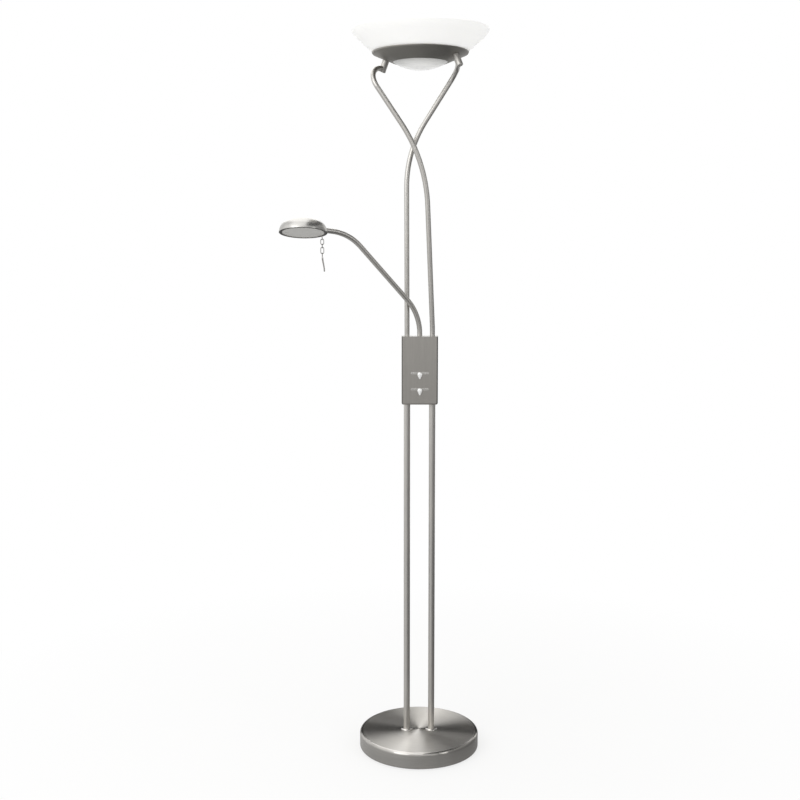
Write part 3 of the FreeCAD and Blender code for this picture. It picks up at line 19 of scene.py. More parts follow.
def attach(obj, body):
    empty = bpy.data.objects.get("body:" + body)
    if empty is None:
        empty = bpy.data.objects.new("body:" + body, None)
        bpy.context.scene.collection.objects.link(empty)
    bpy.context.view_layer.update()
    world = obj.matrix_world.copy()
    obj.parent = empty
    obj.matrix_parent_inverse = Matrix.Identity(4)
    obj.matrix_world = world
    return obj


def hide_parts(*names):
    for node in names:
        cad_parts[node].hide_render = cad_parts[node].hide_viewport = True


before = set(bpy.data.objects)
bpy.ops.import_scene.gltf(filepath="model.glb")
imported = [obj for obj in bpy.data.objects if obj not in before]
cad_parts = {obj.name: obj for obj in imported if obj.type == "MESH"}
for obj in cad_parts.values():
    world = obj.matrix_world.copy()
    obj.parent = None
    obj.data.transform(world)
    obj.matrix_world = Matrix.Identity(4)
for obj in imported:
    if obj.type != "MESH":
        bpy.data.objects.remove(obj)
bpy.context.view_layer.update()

MM = 0.001
WHITE = (1.0, 1.0, 1.0)
Pair = tuple[float, float]
Place = tuple[float, float, float]
Colour = tuple[float, float, float]
Frame = tuple[tuple[float, ...], ...]
Face = tuple[int, ...]
Socket = bpy.types.NodeSocket
Feed = Socket | float | Colour
log = logging.getLogger("floor_lamp")


def tinted(tone: Colour, factors: Colour | float) -> Colour:
    """A tone made darker, lighter or warmer.

    Args:
        tone: The tone to start from.
        factors: What its parts are multiplied by, or one number for all three.

    Returns:
        The new tone.
    """
    parts = (factors,) * 3 if isinstance(factors, float) else factors
    return tuple(part * factor for part, factor in zip(tone, parts))


def put(name: str, data: bpy.types.ID) -> bpy.types.Object:
    """Stands a new object in the scene.

    Args:
        name: The object's name.
        data: Its mesh, light or camera.

    Returns:
        The object.
    """
    made = bpy.data.objects.new(name, data)
    bpy.context.scene.collection.objects.link(made)
    return made


# Node trees


class Grain(Enum):
    """Which way the fine lines of a brushed or worked surface run."""

    TURNED = "rings round an axis"
    UPRIGHT = "lines up and down"
    EVEN = "no direction"


class NodeDesk:
    """A node tree, with short ways to add what a finish or the surround needs."""

    def __init__(self, owner: bpy.types.Material | bpy.types.World) -> None:
        """Opens a node tree.

        Args:
            owner: A new material or world.
        """
        owner.use_nodes = True
        self.nodes = owner.node_tree.nodes
        self.links = owner.node_tree.links
        self.shader = self.find("BSDF_PRINCIPLED")

    def find(self, kind: str) -> bpy.types.Node | None:
        """The tree's first node whose type begins with a word, or None."""
        return next((n for n in self.nodes if n.type.startswith(kind)), None)

    def show(self, shader: bpy.types.Node) -> None:
        """Makes a shader node the one that is seen."""
        self.links.new(shader.outputs[0], self.find("OUTPUT").inputs["Surface"])

    def feed(self, socket: Socket, value: Feed) -> None:
        """Links a socket to an output, or sets it.

        Args:
            socket: The input to feed.
            value: An output socket, a number, or a colour or vector.
        """
        if isinstance(value, Socket):
            self.links.new(value, socket)
        elif socket.type == "RGBA":
            socket.default_value = (*value, 1.0)
        else:
            socket.default_value = value

    def add(
        self, kind: str, feeds: dict[str | int, Feed] | None = None, **settings: object
    ) -> bpy.types.Node:
        """Adds a node.

        Args:
            kind: The node's type.
            feeds: What goes into its inputs, by name or number.
            settings: The node's own options.

        Returns:
            The new node.
        """
        node = self.nodes.new(kind)
        for key, value in settings.items():
            setattr(node, key, value)
        for key, value in (feeds or {}).items():
            self.feed(node.inputs[key], value)
        return node

    def maths(self, operation: str, first: Feed, second: Feed = 0.0) -> Socket:
        """Result of one sum on two numbers.

        Args:
            operation: The Math node's operation.
            first: Its first number.
            second: Its second number.

        Returns:
            The node's output.
        """
        return self.add("ShaderNodeMath", {0: first, 1: second}, operation=operation).outputs[0]

    def levels(
        self, value: Feed, low: float, high: float, start: float = 0.0, end: float = 1.0
    ) -> Socket:
        """Stretches the range low to high over start to end, and stops at both.

        Args:
            value: The number to change.
            low: Where the range begins.
            high: Where it ends.
            start: What low becomes.
            end: What high becomes.

        Returns:
            The changed number.
        """
        feeds = {"Value": value, "From Min": low, "From Max": high, "To Min": start, "To Max": end}
        return self.add("ShaderNodeMapRange", feeds).outputs["Result"]

    def blend(self, share: Feed, first: Feed, second: Feed) -> Socket:
        """Mixes two colours.

        Args:
            share: How much of the second there is, from 0 to 1.
            first: The first colour.
            second: The second colour.

        Returns:
            The mixed colour.
        """
        node = self.add("ShaderNodeMix", data_type="RGBA")
        self.feed(node.inputs[0], share)
        self.feed(node.inputs[6], first)
        self.feed(node.inputs[7], second)
        return node.outputs[2]

    def place(self, stand: Matrix | None = None) -> Socket:
        """A point of the surface, in metres, in the part's own frame.

        Args:
            stand: The frame of a tilted part, or None for the lamp's frame.

        Returns:
            The point.
        """
        point = self.add("ShaderNodeTexCoord").outputs["Object"]
        if stand is None:
            return point
        inverse = stand.inverted()
        node = self.add("ShaderNodeMapping", {"Vector": point})
        node.inputs["Location"].default_value = inverse.to_translation()
        node.inputs["Rotation"].default_value = inverse.to_euler()
        return node.outputs["Vector"]

    def vector(self, operation: str, *terms: Feed) -> bpy.types.Node:
        """Adds a sum on vectors.

        Args:
            operation: The Vector Math node's operation.
            terms: Its vectors, in order.

        Returns:
            The new node.
        """
        return self.add("ShaderNodeVectorMath", dict(enumerate(terms)), operation=operation)

    def scaled(self, point: Feed, factors: Colour) -> Socket:
        """A vector with each side multiplied by its own factor."""
        return self.vector("MULTIPLY", point, factors).outputs[0]

    def from_axis(self, point: Feed) -> Socket:
        """How far a point is from the z axis of its frame."""
        return self.vector("LENGTH", self.scaled(point, (1.0, 1.0, 0.0))).outputs["Value"]

    def weave(self, fine: Feed, wide: Feed, share: float) -> Socket:
        """Lays fine lines over coarse ones.

        Args:
            fine: The fine lines.
            wide: The coarse lines.
            share: How much of the sum is fine.

        Returns:
            The sum.
        """
        coarse = self.maths("MULTIPLY", wide, 1.0 - share)
        return self.maths("ADD", self.maths("MULTIPLY", fine, share), coarse)

    def noise(self, point: Feed, scale: float, detail: float = 2.0, rough: float = 0.5) -> Socket:
        """Soft random values between 0 and 1.

        Args:
            point: Where the values are read.
            scale: Features in one unit of the point.
            detail: Octaves of finer features.
            rough: How strong the finer features are.

        Returns:
            The value.
        """
        feeds = {"Vector": point, "Scale": scale, "Detail": detail, "Roughness": rough}
        return self.add("ShaderNodeTexNoise", feeds).outputs[0]

    def lines(self, grain: Grain, pitch: float, run: float, stand: Matrix | None = None) -> Socket:
        """Brushed lines.

        Args:
            grain: Which way they run.
            pitch: Distance between lines.
            run: Length of a line.
            stand: The frame of a tilted part.

        Returns:
            A value between 0 and 1 that changes from line to line.
        """
        point = self.place(stand)
        across, along = 1.0 / pitch, 1.0 / run
        if grain is Grain.TURNED:
            height = self.add("ShaderNodeSeparateXYZ", {0: point}).outputs["Z"]
            rings = self.add("ShaderNodeCombineXYZ", {"X": self.from_axis(point), "Y": height})
            rings = self.scaled(rings.outputs[0], (across, across, 0.0))
            bearing = self.vector("NORMALIZE", self.scaled(point, (1.0, 1.0, 0.0))).outputs[0]
            bearing = self.scaled(bearing, (0.1 * along,) * 3)
            point = self.vector("ADD", rings, bearing).outputs[0]
        elif grain is Grain.UPRIGHT:
            point = self.scaled(point, (across, across, along))
        else:
            point = self.scaled(point, (across,) * 3)
        return self.noise(point, 1.0, 3.0, 0.6)

    def worn_edge(self, radius: float) -> Socket:
        """How near a point is to a sharp outer edge, broken up as real rubbing is.

        Args:
            radius: How wide the rubbed band is.

        Returns:
            A value from 0 away from edges to 1 on them.
        """
        rounded = self.add("ShaderNodeBevel", {"Radius": radius}, samples=4).outputs[0]
        facing = self.add("ShaderNodeNewGeometry").outputs["Normal"]
        same = self.vector("DOT_PRODUCT", rounded, facing)
        edge = self.levels(self.maths("SUBTRACT", 1.0, same.outputs["Value"]), 0.03, 0.18)
        patches = self.levels(self.noise(self.place(), 160.0, 3.0), 0.3, 0.7, 0.35, 1.0)
        return self.maths("MULTIPLY", edge, patches)

    def relief(self, height: Feed, depth: float, strength: float = 1.0) -> None:
        """Gives the shader's surface a fine relief.

        Args:
            height: The relief, from 0 to 1.
            depth: How deep it is, in metres.
            strength: How much of it shows.
        """
        feeds = {"Height": height, "Distance": depth, "Strength": strength}
        self.set(Normal=self.add("ShaderNodeBump", feeds).outputs[0])

    def rub(self, worn: Feed, share: float, body: Feed, bare: Colour) -> None:
        """Colours the shader, with the rubbed edges in a tone of their own.

        Args:
            worn: Where it is rubbed, from 0 to 1.
            share: How much of the rubbed tone shows there.
            body: The colour elsewhere.
            bare: The rubbed tone.
        """
        self.set(Base_Color=self.blend(self.maths("MULTIPLY", worn, share), body, bare))

    def set(self, **values: Feed) -> None:
        """Feeds the shader's own sockets; an underscore in a name stands for a space."""
        for key, value in values.items():
            self.feed(self.shader.inputs[key.replace("_", " ")], value)


# Finishes


@dataclass(frozen=True)
class Finish(ABC):
    """A finish: its material's name and the record's slot that it belongs to."""

    name: str
    slot: str

    @abstractmethod
    def draw(self, desk: NodeDesk) -> None:
        """Draws the finish on a new material's node tree."""

    def material(self) -> bpy.types.Material:
        """The finish's material, made once."""
        made = bpy.data.materials.get(self.name)
        if made is None:
            made = bpy.data.materials.new(self.name)
            self.draw(NodeDesk(made))
        return made


@dataclass(frozen=True)
class SatinNickel(Finish):
    """Nickel plate over steel, brushed to a satin."""

    grain: Grain = Grain.UPRIGHT
    tone: Colour = (0.50, 0.485, 0.46)
    roughness: float = 0.30
    pitch: float = 0.5 * MM
    run: float = 25.0 * MM
    streak: float = 0.12
    spread: float = 0.0  # how far highlights are drawn out across the rings
    edge: float = 1.0 * MM
    rim: float | None = None
    rim_blur: float = 1.5 * MM
    stand: Frame | None = None

    def draw(self, desk: NodeDesk) -> None:
        """Brushed lines, soft clouds of handling and brighter rubbed edges."""
        stand = Matrix(self.stand) if self.stand else None
        fine = desk.lines(self.grain, self.pitch, self.run, stand)
        wide = desk.lines(self.grain, 6.0 * self.pitch, 4.0 * self.run, stand)
        cloud = desk.noise(desk.place(), 14.0, 3.0)
        dark = tinted(self.tone, 1.0 - self.streak)
        light = tinted(self.tone, 1.0 + 0.6 * self.streak)
        grain = desk.weave(fine, wide, 0.6)
        body = desk.blend(desk.levels(grain, 0.32, 0.68), dark, light)
        warm = tinted(light, (1.0, 0.985, 0.95))
        body = desk.blend(desk.levels(cloud, 0.4, 0.75, 0.0, 0.35), body, warm)
        worn = desk.worn_edge(self.edge)
        desk.rub(worn, 0.7, body, tinted(self.tone, 1.35))
        rough = desk.levels(grain, 0.2, 0.8, self.roughness - 0.05, self.roughness + 0.07)
        rough = desk.maths("ADD", rough, desk.levels(cloud, 0.35, 0.7, -0.02, 0.05))
        rough = desk.maths("SUBTRACT", rough, desk.maths("MULTIPLY", worn, 0.08))
        if self.rim:
            near, far = self.rim - self.rim_blur, self.rim + self.rim_blur
            smooth = desk.levels(desk.from_axis(desk.place(stand)), near, far, 1.0, 0.5)
            rough = desk.maths("MULTIPLY", rough, smooth)
        desk.set(Metallic=1.0, Roughness=rough)
        desk.relief(fine, 0.02 * MM, 0.1 if self.grain is Grain.EVEN else 0.4)
        if self.spread:
            rings = desk.add("ShaderNodeTangent", direction_type="RADIAL", axis="Z").outputs[0]
            desk.set(Anisotropic=self.spread, Anisotropic_Rotation=0.25, Tangent=rings)


@dataclass(frozen=True)
class PolishedNickel(Finish):
    """Bright nickel plate with faint polishing swirls."""

    tone: Colour = (0.66, 0.645, 0.62)
    roughness: float = 0.14

    def draw(self, desk: NodeDesk) -> None:
        """A near mirror with hazy patches, hairlines and rubbed edges."""
        haze = desk.noise(desk.place(), 45.0, 3.0)
        hair = desk.lines(Grain.UPRIGHT, 0.35 * MM, 9.0 * MM)
        dull = tinted(self.tone, 0.88)
        body = desk.blend(desk.levels(haze, 0.35, 0.7), self.tone, dull)
        worn = desk.worn_edge(0.5 * MM)
        desk.rub(worn, 0.6, body, tinted(self.tone, 1.25))
        rough = desk.levels(haze, 0.3, 0.7, self.roughness - 0.03, self.roughness + 0.06)
        rough = desk.maths("ADD", rough, desk.levels(hair, 0.5, 0.8, 0.0, 0.05))
        desk.set(Metallic=1.0, Roughness=rough)
        desk.relief(hair, 0.008 * MM, 0.4)


@dataclass(frozen=True)
class BrushedSheet(Finish):
    """Brushed sheet steel under a thin satin lacquer, as on the dimmer box."""

    tone: Colour = (0.45, 0.432, 0.403)
    roughness: float = 0.38

    def draw(self, desk: NodeDesk) -> None:
        """Upright brush lines, lacquered; painted shade on the rounded sides; a little rubbed on
        the folded edges.
        """
        fine = desk.lines(Grain.UPRIGHT, 0.45 * MM, 30.0 * MM)
        wide = desk.lines(Grain.UPRIGHT, 3.0 * MM, 160.0 * MM)
        spots = desk.noise(desk.place(), 60.0, 4.0, 0.6)
        grain = desk.weave(fine, wide, 0.55)
        dark = tinted(self.tone, 0.92)
        light = tinted(self.tone, 1.06)
        body = desk.blend(desk.levels(grain, 0.34, 0.66), dark, light)
        body = desk.blend(desk.levels(spots, 0.55, 0.8, 0.0, 0.3), body, dark)
        # Painted shade: faces turned partly towards the sides, on the box's rounded side edges, are
        # darkened towards 0.3 of the tone.
        facing = desk.add("ShaderNodeNewGeometry").outputs["Normal"]
        aside = desk.maths("ABSOLUTE", desk.add("ShaderNodeSeparateXYZ", {0: facing}).outputs["X"])
        turned, flank = desk.levels(aside, 0.1, 0.4), desk.levels(aside, 0.995, 0.9)
        painted_edge_shade = desk.maths("MULTIPLY", turned, flank)
        body = desk.blend(desk.maths("MULTIPLY", painted_edge_shade, 0.9), body, tinted(self.tone, 0.3))
        worn = desk.worn_edge(0.8 * MM)
        desk.rub(worn, 0.3, body, (0.56, 0.545, 0.52))
        rough = desk.levels(grain, 0.25, 0.75, self.roughness - 0.05, self.roughness + 0.06)
        desk.set(Metallic=1.0, Roughness=rough, Anisotropic=0.45)
        desk.set(Tangent=desk.add("ShaderNodeCombineXYZ", {"X": 1.0}).outputs[0])
        desk.set(Coat_Weight=0.25, Coat_Roughness=0.22)
        desk.relief(fine, 0.015 * MM, 0.5)


@dataclass(frozen=True)
class MetallisedPlastic(Finish):
    """Moulded plastic with a bright silver coat."""

    tone: Colour = (0.90, 0.90, 0.895)

    def draw(self, desk: NodeDesk) -> None:
        """Bright silver, a little orange-peel, dulled where a finger rubs."""
        peel = desk.noise(desk.place(), 900.0, 2.0)
        touch = desk.noise(desk.place(), 220.0, 2.0)
        dull = tinted(self.tone, 0.9)
        desk.set(Base_Color=desk.blend(desk.levels(touch, 0.4, 0.7), self.tone, dull))
        desk.set(Metallic=0.3, Roughness=desk.levels(touch, 0.3, 0.7, 0.22, 0.36))
        desk.set(Coat_Weight=0.3, Coat_Roughness=0.1)
        desk.relief(peel, 0.01 * MM, 0.4)


@dataclass(frozen=True)
class OpalGlass(Finish):
    """White glass with an acid-etched face."""

    tone: Colour = (0.962, 0.958, 0.935)
    shade: Colour = (0.935, 0.932, 0.912)
    roughness: float = 0.42
    depth: float = 10.0 * MM
    inside: float = 0.8
    # Radii over which the glass darkens outwards: painted shade from the ring above it; None for
    # none.
    rim: Pair | None = None

    def draw(self, desk: NodeDesk) -> None:
        """Milky glass with faint clouds, tiny seeds, a clearer ground edge and, where a rim is
        given, painted shade towards it.
        """
        cloud = desk.noise(desk.place(), 9.0, 4.0, 0.6)
        seeds = desk.noise(desk.place(), 700.0, 1.0)
        body = desk.blend(desk.levels(cloud, 0.42, 0.75, 0.0, 0.6), self.tone, self.shade)
        # Painted shade: darker outwards from the axis, down to half the shade tone.
        if self.rim:
            outer = desk.levels(desk.from_axis(desk.place()), *self.rim)
            body = desk.blend(outer, body, tinted(self.shade, 0.5))
        worn = desk.worn_edge(0.8 * MM)
        desk.rub(worn, 0.6, body, tinted(self.shade, 0.90))
        rough = desk.levels(cloud, 0.3, 0.7, self.roughness - 0.05, self.roughness + 0.08)
        desk.set(Roughness=desk.maths("SUBTRACT", rough, desk.maths("MULTIPLY", worn, 0.2)))
        desk.set(Subsurface_Weight=self.inside, Subsurface_Scale=self.depth)
        desk.set(Subsurface_Radius=(1.0, 1.0, 0.95), IOR=1.5)
        desk.relief(seeds, 0.01 * MM, 0.15)


@dataclass(frozen=True)
class ClearGlass(Finish):
    """Clear lamp glass."""

    tone: Colour = (0.97, 0.98, 0.98)

    def draw(self, desk: NodeDesk) -> None:
        """Clear, with a slight wave and a trace of haze."""
        wave = desk.noise(desk.place(), 120.0, 2.0)
        desk.set(Base_Color=desk.blend(desk.levels(wave, 0.4, 0.7), self.tone, (0.93, 0.95, 0.96)))
        desk.set(Transmission_Weight=1.0, IOR=1.46)
        desk.set(Roughness=desk.levels(wave, 0.3, 0.7, 0.02, 0.07))
        desk.relief(wave, 0.05 * MM, 0.2)


@dataclass(frozen=True)
class PlatedSteel(Finish):
    """Zinc-plated steel of brackets, nuts and screws."""

    tone: Colour = (0.60, 0.61, 0.63)

    def draw(self, desk: NodeDesk) -> None:
        """Spangled zinc with a blue and a yellow cast and rubbed corners."""
        spangle = desk.noise(desk.place(), 320.0, 2.0)
        cast = desk.noise(desk.place(), 70.0, 3.0)
        blue = tinted(self.tone, (0.86, 0.90, 0.97))
        straw = tinted(self.tone, (1.02, 0.98, 0.88))
        body = desk.blend(desk.levels(spangle, 0.35, 0.65), self.tone, blue)
        body = desk.blend(desk.levels(cast, 0.45, 0.7, 0.0, 0.6), body, straw)
        worn = desk.worn_edge(0.5 * MM)
        desk.rub(worn, 0.6, body, (0.78, 0.78, 0.78))
        desk.set(Metallic=1.0, Roughness=desk.levels(spangle, 0.3, 0.7, 0.3, 0.46))
        desk.relief(spangle, 0.02 * MM, 0.4)


@dataclass(frozen=True)
class SpunAluminium(Finish):
    """Polished aluminium of the reading light's reflector."""

    stand: Frame
    tone: Colour = (0.85, 0.85, 0.86)

    def draw(self, desk: NodeDesk) -> None:
        """Bright metal with spinning rings."""
        rings = desk.lines(Grain.TURNED, 0.8 * MM, 60.0 * MM, Matrix(self.stand))
        dull = tinted(self.tone, 0.85)
        desk.set(Base_Color=desk.blend(desk.levels(rings, 0.4, 0.7), self.tone, dull))
        desk.set(Metallic=1.0, Roughness=desk.levels(rings, 0.3, 0.7, 0.14, 0.26))
        desk.relief(rings, 0.02 * MM, 0.4)


@dataclass(frozen=True)
class CastIron(Finish):
    """Rough cast iron of the base's weight."""

    def draw(self, desk: NodeDesk) -> None:
        """Sandy casting skin with a little rust."""
        sand = desk.noise(desk.place(), 600.0, 4.0, 0.65)
        rust = desk.noise(desk.place(), 35.0, 4.0)
        body = desk.blend(desk.levels(sand, 0.35, 0.65), (0.10, 0.10, 0.105), (0.20, 0.20, 0.205))
        body = desk.blend(desk.levels(rust, 0.55, 0.75, 0.0, 0.6), body, (0.22, 0.12, 0.07))
        desk.set(Base_Color=body, Metallic=0.7)
        desk.set(Roughness=desk.levels(sand, 0.3, 0.7, 0.6, 0.85))
        desk.relief(sand, 0.25 * MM, 0.8)


@dataclass(frozen=True)
class Moulded(Finish):
    """Moulded plastic, fired ceramic or extruded sheath, by its tones and shine."""

    tone: Colour = (0.035, 0.035, 0.037)
    other: Colour = (0.06, 0.06, 0.062)
    roughness: float = 0.5
    texture: float = 500.0
    depth: float = 0.03 * MM

    def draw(self, desk: NodeDesk) -> None:
        """Fine surface texture, a cloudy tone and scuffed edges."""
        skin = desk.noise(desk.place(), self.texture, 3.0)
        cloud = desk.noise(desk.place(), 40.0, 2.0)
        body = desk.blend(desk.levels(cloud, 0.35, 0.7), self.tone, self.other)
        worn = desk.worn_edge(0.4 * MM)
        scuffed = tuple(min(c * 1.25 + 0.03, 0.95) for c in self.other)
        desk.rub(worn, 0.7, body, scuffed)
        rough = desk.levels(skin, 0.3, 0.7, self.roughness - 0.06, self.roughness + 0.08)
        desk.set(Roughness=rough)
        desk.relief(skin, self.depth, 0.5)


@dataclass(frozen=True)
class FoamPad(Finish):
    """Closed-cell foam under the base."""

    def draw(self, desk: NodeDesk) -> None:
        """Small open cells on a dull black sheet."""
        feeds = {"Vector": desk.place(), "Scale": 900.0}
        cells = desk.add("ShaderNodeTexVoronoi", feeds, feature="DISTANCE_TO_EDGE")
        pores = desk.levels(cells.outputs["Distance"], 0.02, 0.25)
        desk.set(Base_Color=desk.blend(pores, (0.09, 0.09, 0.09), (0.045, 0.045, 0.047)))
        desk.set(Roughness=desk.levels(pores, 0.0, 1.0, 0.95, 0.8))
        desk.relief(pores, 0.3 * MM, 0.8)


@dataclass(frozen=True)
class CircuitBoard(Finish):
    """Brown laminate of the dimmer board with its copper tracks under lacquer."""

    def draw(self, desk: NodeDesk) -> None:
        """Tracks as bands of a coarse cell pattern over paper laminate."""
        paper = desk.noise(desk.place(), 400.0, 3.0)
        feeds = {"Vector": desk.place(), "Scale": 110.0}
        tracks = desk.add("ShaderNodeTexVoronoi", feeds, distance="MANHATTAN")
        copper = desk.levels(tracks.outputs["Distance"], 0.42, 0.46)
        body = desk.blend(desk.levels(paper, 0.35, 0.65), (0.30, 0.19, 0.08), (0.38, 0.26, 0.12))
        desk.set(Base_Color=desk.blend(copper, body, (0.42, 0.30, 0.10)))
        desk.set(Roughness=desk.levels(copper, 0.0, 1.0, 0.5, 0.35))
        desk.relief(copper, 0.04 * MM, 0.6)


@dataclass(frozen=True)
class WoundCopper(Finish):
    """Enamelled wire wound round the ring chokes."""

    def draw(self, desk: NodeDesk) -> None:
        """Close turns of wire in two shades of enamel."""
        feeds = {"Vector": desk.place(), "Scale": 160.0, "Distortion": 1.5, "Detail": 1.0}
        settings = {"wave_type": "BANDS", "bands_direction": "DIAGONAL"}
        turns = desk.add("ShaderNodeTexWave", feeds, **settings).outputs[1]
        body = desk.blend(turns, (0.30, 0.12, 0.05), (0.66, 0.33, 0.16))
        desk.set(Base_Color=body, Metallic=0.8, Roughness=desk.levels(turns, 0.0, 1.0, 0.45, 0.25))
        desk.relief(turns, 0.3 * MM, 0.8)


# Meshes


def mesh_from(name: str, points: list[Vector], faces: list[Face]) -> bpy.types.Mesh:
    """A smooth-shaded mesh with its faces turned outwards.

    Args:
        name: The mesh's name.
        points: Its corners.
        faces: Its faces, as numbers of corners.

    Returns:
        The mesh.
    """
    mesh = bpy.data.meshes.new(name)
    mesh.from_pydata([tuple(p) for p in points], [], faces)
    work = bmesh.new()
    work.from_mesh(mesh)
    bmesh.ops.recalc_face_normals(work, faces=work.faces)
    work.to_mesh(mesh)
    work.free()
    mesh.shade_smooth()
    return mesh


def ring_faces(rows: int, around: int, closed: bool = False) -> list[Face]:
    """Quads between rows of points that each go once round.

    Args:
        rows: How many rows there are.
        around: Points in a row.
        closed: Whether the last row joins the first.

    Returns:
        The faces.
    """
    faces = []
    for row in range(rows if closed else rows - 1):
        below, above = row * around, (row + 1) % rows * around
        for i in range(around):
            j = (i + 1) % around
            faces.append((below + i, below + j, above + j, above + i))
    return faces


def capped_faces(rows: int, around: int) -> list[Face]:
    """Quads between rows of points, with a face over the first row and the last.

    Args:
        rows: How many rows there are.
        around: Points in a row.

    Returns:
        The faces.
    """
    last = (rows - 1) * around
    ends = [tuple(range(around)), tuple(range(last, last + around))]
    return ring_faces(rows, around) + ends


def arc(middle: Pair, radius: float, first: float, last: float, steps: int) -> list[Pair]:
    """Points along an arc, both ends included.

    Args:
        middle: The arc's middle.
        radius: Its radius.
        first: The bearing where it starts, in degrees.
        last: The bearing where it ends.
        steps: How many steps it is cut into.

    Returns:
        The points.
    """
    turns = (math.radians(first + (last - first) * i / steps) for i in range(steps + 1))
    x, y = middle
    return [(x + radius * math.cos(turn), y + radius * math.sin(turn)) for turn in turns]


def circle(radius: float, sides: int) -> list[Pair]:
    """Points once round a circle."""
    return arc((0.0, 0.0), radius, 0.0, 360.0, sides)[:-1]


def lathe(name: str, profile: list[Pair], stand: Matrix, around: int) -> bpy.types.Mesh:
    """A closed profile turned round the z axis of a frame.

    Args:
        name: The mesh's name.
        profile: Radius and height of each point, as a closed loop off the axis.
        stand: The frame whose z axis is the turning axis.
        around: Points in one turn.

    Returns:
        The mesh.
    """
    points = []
    for radius, height in profile:
        points += [stand @ Vector((x, y, height)) for x, y in circle(radius, around)]
    return mesh_from(name, points, ring_faces(len(profile), around, closed=True))


def wire(name: str, route: list[Vector], radii: list[float], sides: int) -> bpy.types.Mesh:
    """A round wire along a route, closed at both ends.

    Args:
        name: The mesh's name.
        route: The points that its middle follows.
        radii: The wire's radius at each of them.
        sides: Points round the wire.

    Returns:
        The mesh.
    """
    points = []
    side = Vector((0.0, 0.0, 1.0))
    for i, (here, radius) in enumerate(zip(route, radii)):
        ahead, behind = route[min(i + 1, len(route) - 1)], route[max(i - 1, 0)]
        run = (ahead - behind).normalized()
        side = (side - run * side.dot(run)).normalized()
        other = run.cross(side)
        points += [here + side * x + other * y for x, y in circle(radius, sides)]
    return mesh_from(name, points, capped_faces(len(route), sides))


# The lamp's sub-assemblies


@dataclass
class SubAssembly(ABC):
    """A group of parts that are dressed together."""

    @abstractmethod
    def build(self) -> None:
        """Dresses the group's CAD parts and adds its small parts."""

    def dress(self, finish: Finish, *names: str) -> None:
        """Gives CAD parts a finish.

        Args:
            finish: The finish.
            names: The parts' names.
        """
        for name in names:
            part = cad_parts[name]
            for place in part.material_slots:
                place.material = finish.material()
            log.info("dressed %s in %s", name, finish.name)

    def add(
        self, mesh: bpy.types.Mesh, body: str, finish: Finish, *replaced: str
    ) -> bpy.types.Object:
        """Adds a new piece that rides on a body.

        Args:
            mesh: The piece's mesh, in place; the piece gets its name.
            body: The CAD body that carries it.
            finish: The piece's finish.
            replaced: CAD parts that it stands for.

        Returns:
            The piece.
        """
        piece = put(mesh.name, mesh)
        mesh.materials.append(finish.material())
        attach(piece, body)
        if replaced:
            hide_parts(*replaced)
        log.info("added %s on %s", mesh.name, body)
        return piece


@dataclass
class Base(SubAssembly):
    """The round weighted base with its inlet."""

    def build(self) -> None:
        """Dresses the base."""
        cover = SatinNickel(
            "turned_nickel", "satin_nickel", grain=Grain.TURNED, roughness=0.44, run=60.0 * MM,
            spread=0.95, rim=145.0 * MM,
        )
        self.dress(cover, "base_cover")
        self.dress(CastIron("cast_iron", "cast_iron"), "base_ballast")
        self.dress(PLATED, "base_floor_plate", "cover_screws")
        self.dress(FoamPad("foam", "foam"), "base_foam_pad")
        self.dress(BLACK, "cable_gland", "lead_clamp")
        self.dress(SHEATH, "mains_lead")


@dataclass
class Poles(SubAssembly):
    """The two poles between base and box, and what joins them."""

    def build(self) -> None:
        """Dresses the poles."""
        pole = SatinNickel(
            "pole_nickel", "satin_nickel", tone=(0.64, 0.622, 0.592), roughness=0.34,
            pitch=0.3 * MM, streak=0.06,
        )
        self.dress(pole, "lower_pole_left", "lower_pole_right")
        collar = SatinNickel(
            "collar_nickel", "satin_nickel", grain=Grain.EVEN, tone=(0.62, 0.605, 0.58),
            roughness=0.2,
        )
        self.dress(collar, "pole_collars")
        self.dress(BLACK, "pole_end_bushes")
        self.dress(PLATED, "threaded_pipes", "pipe_nuts")


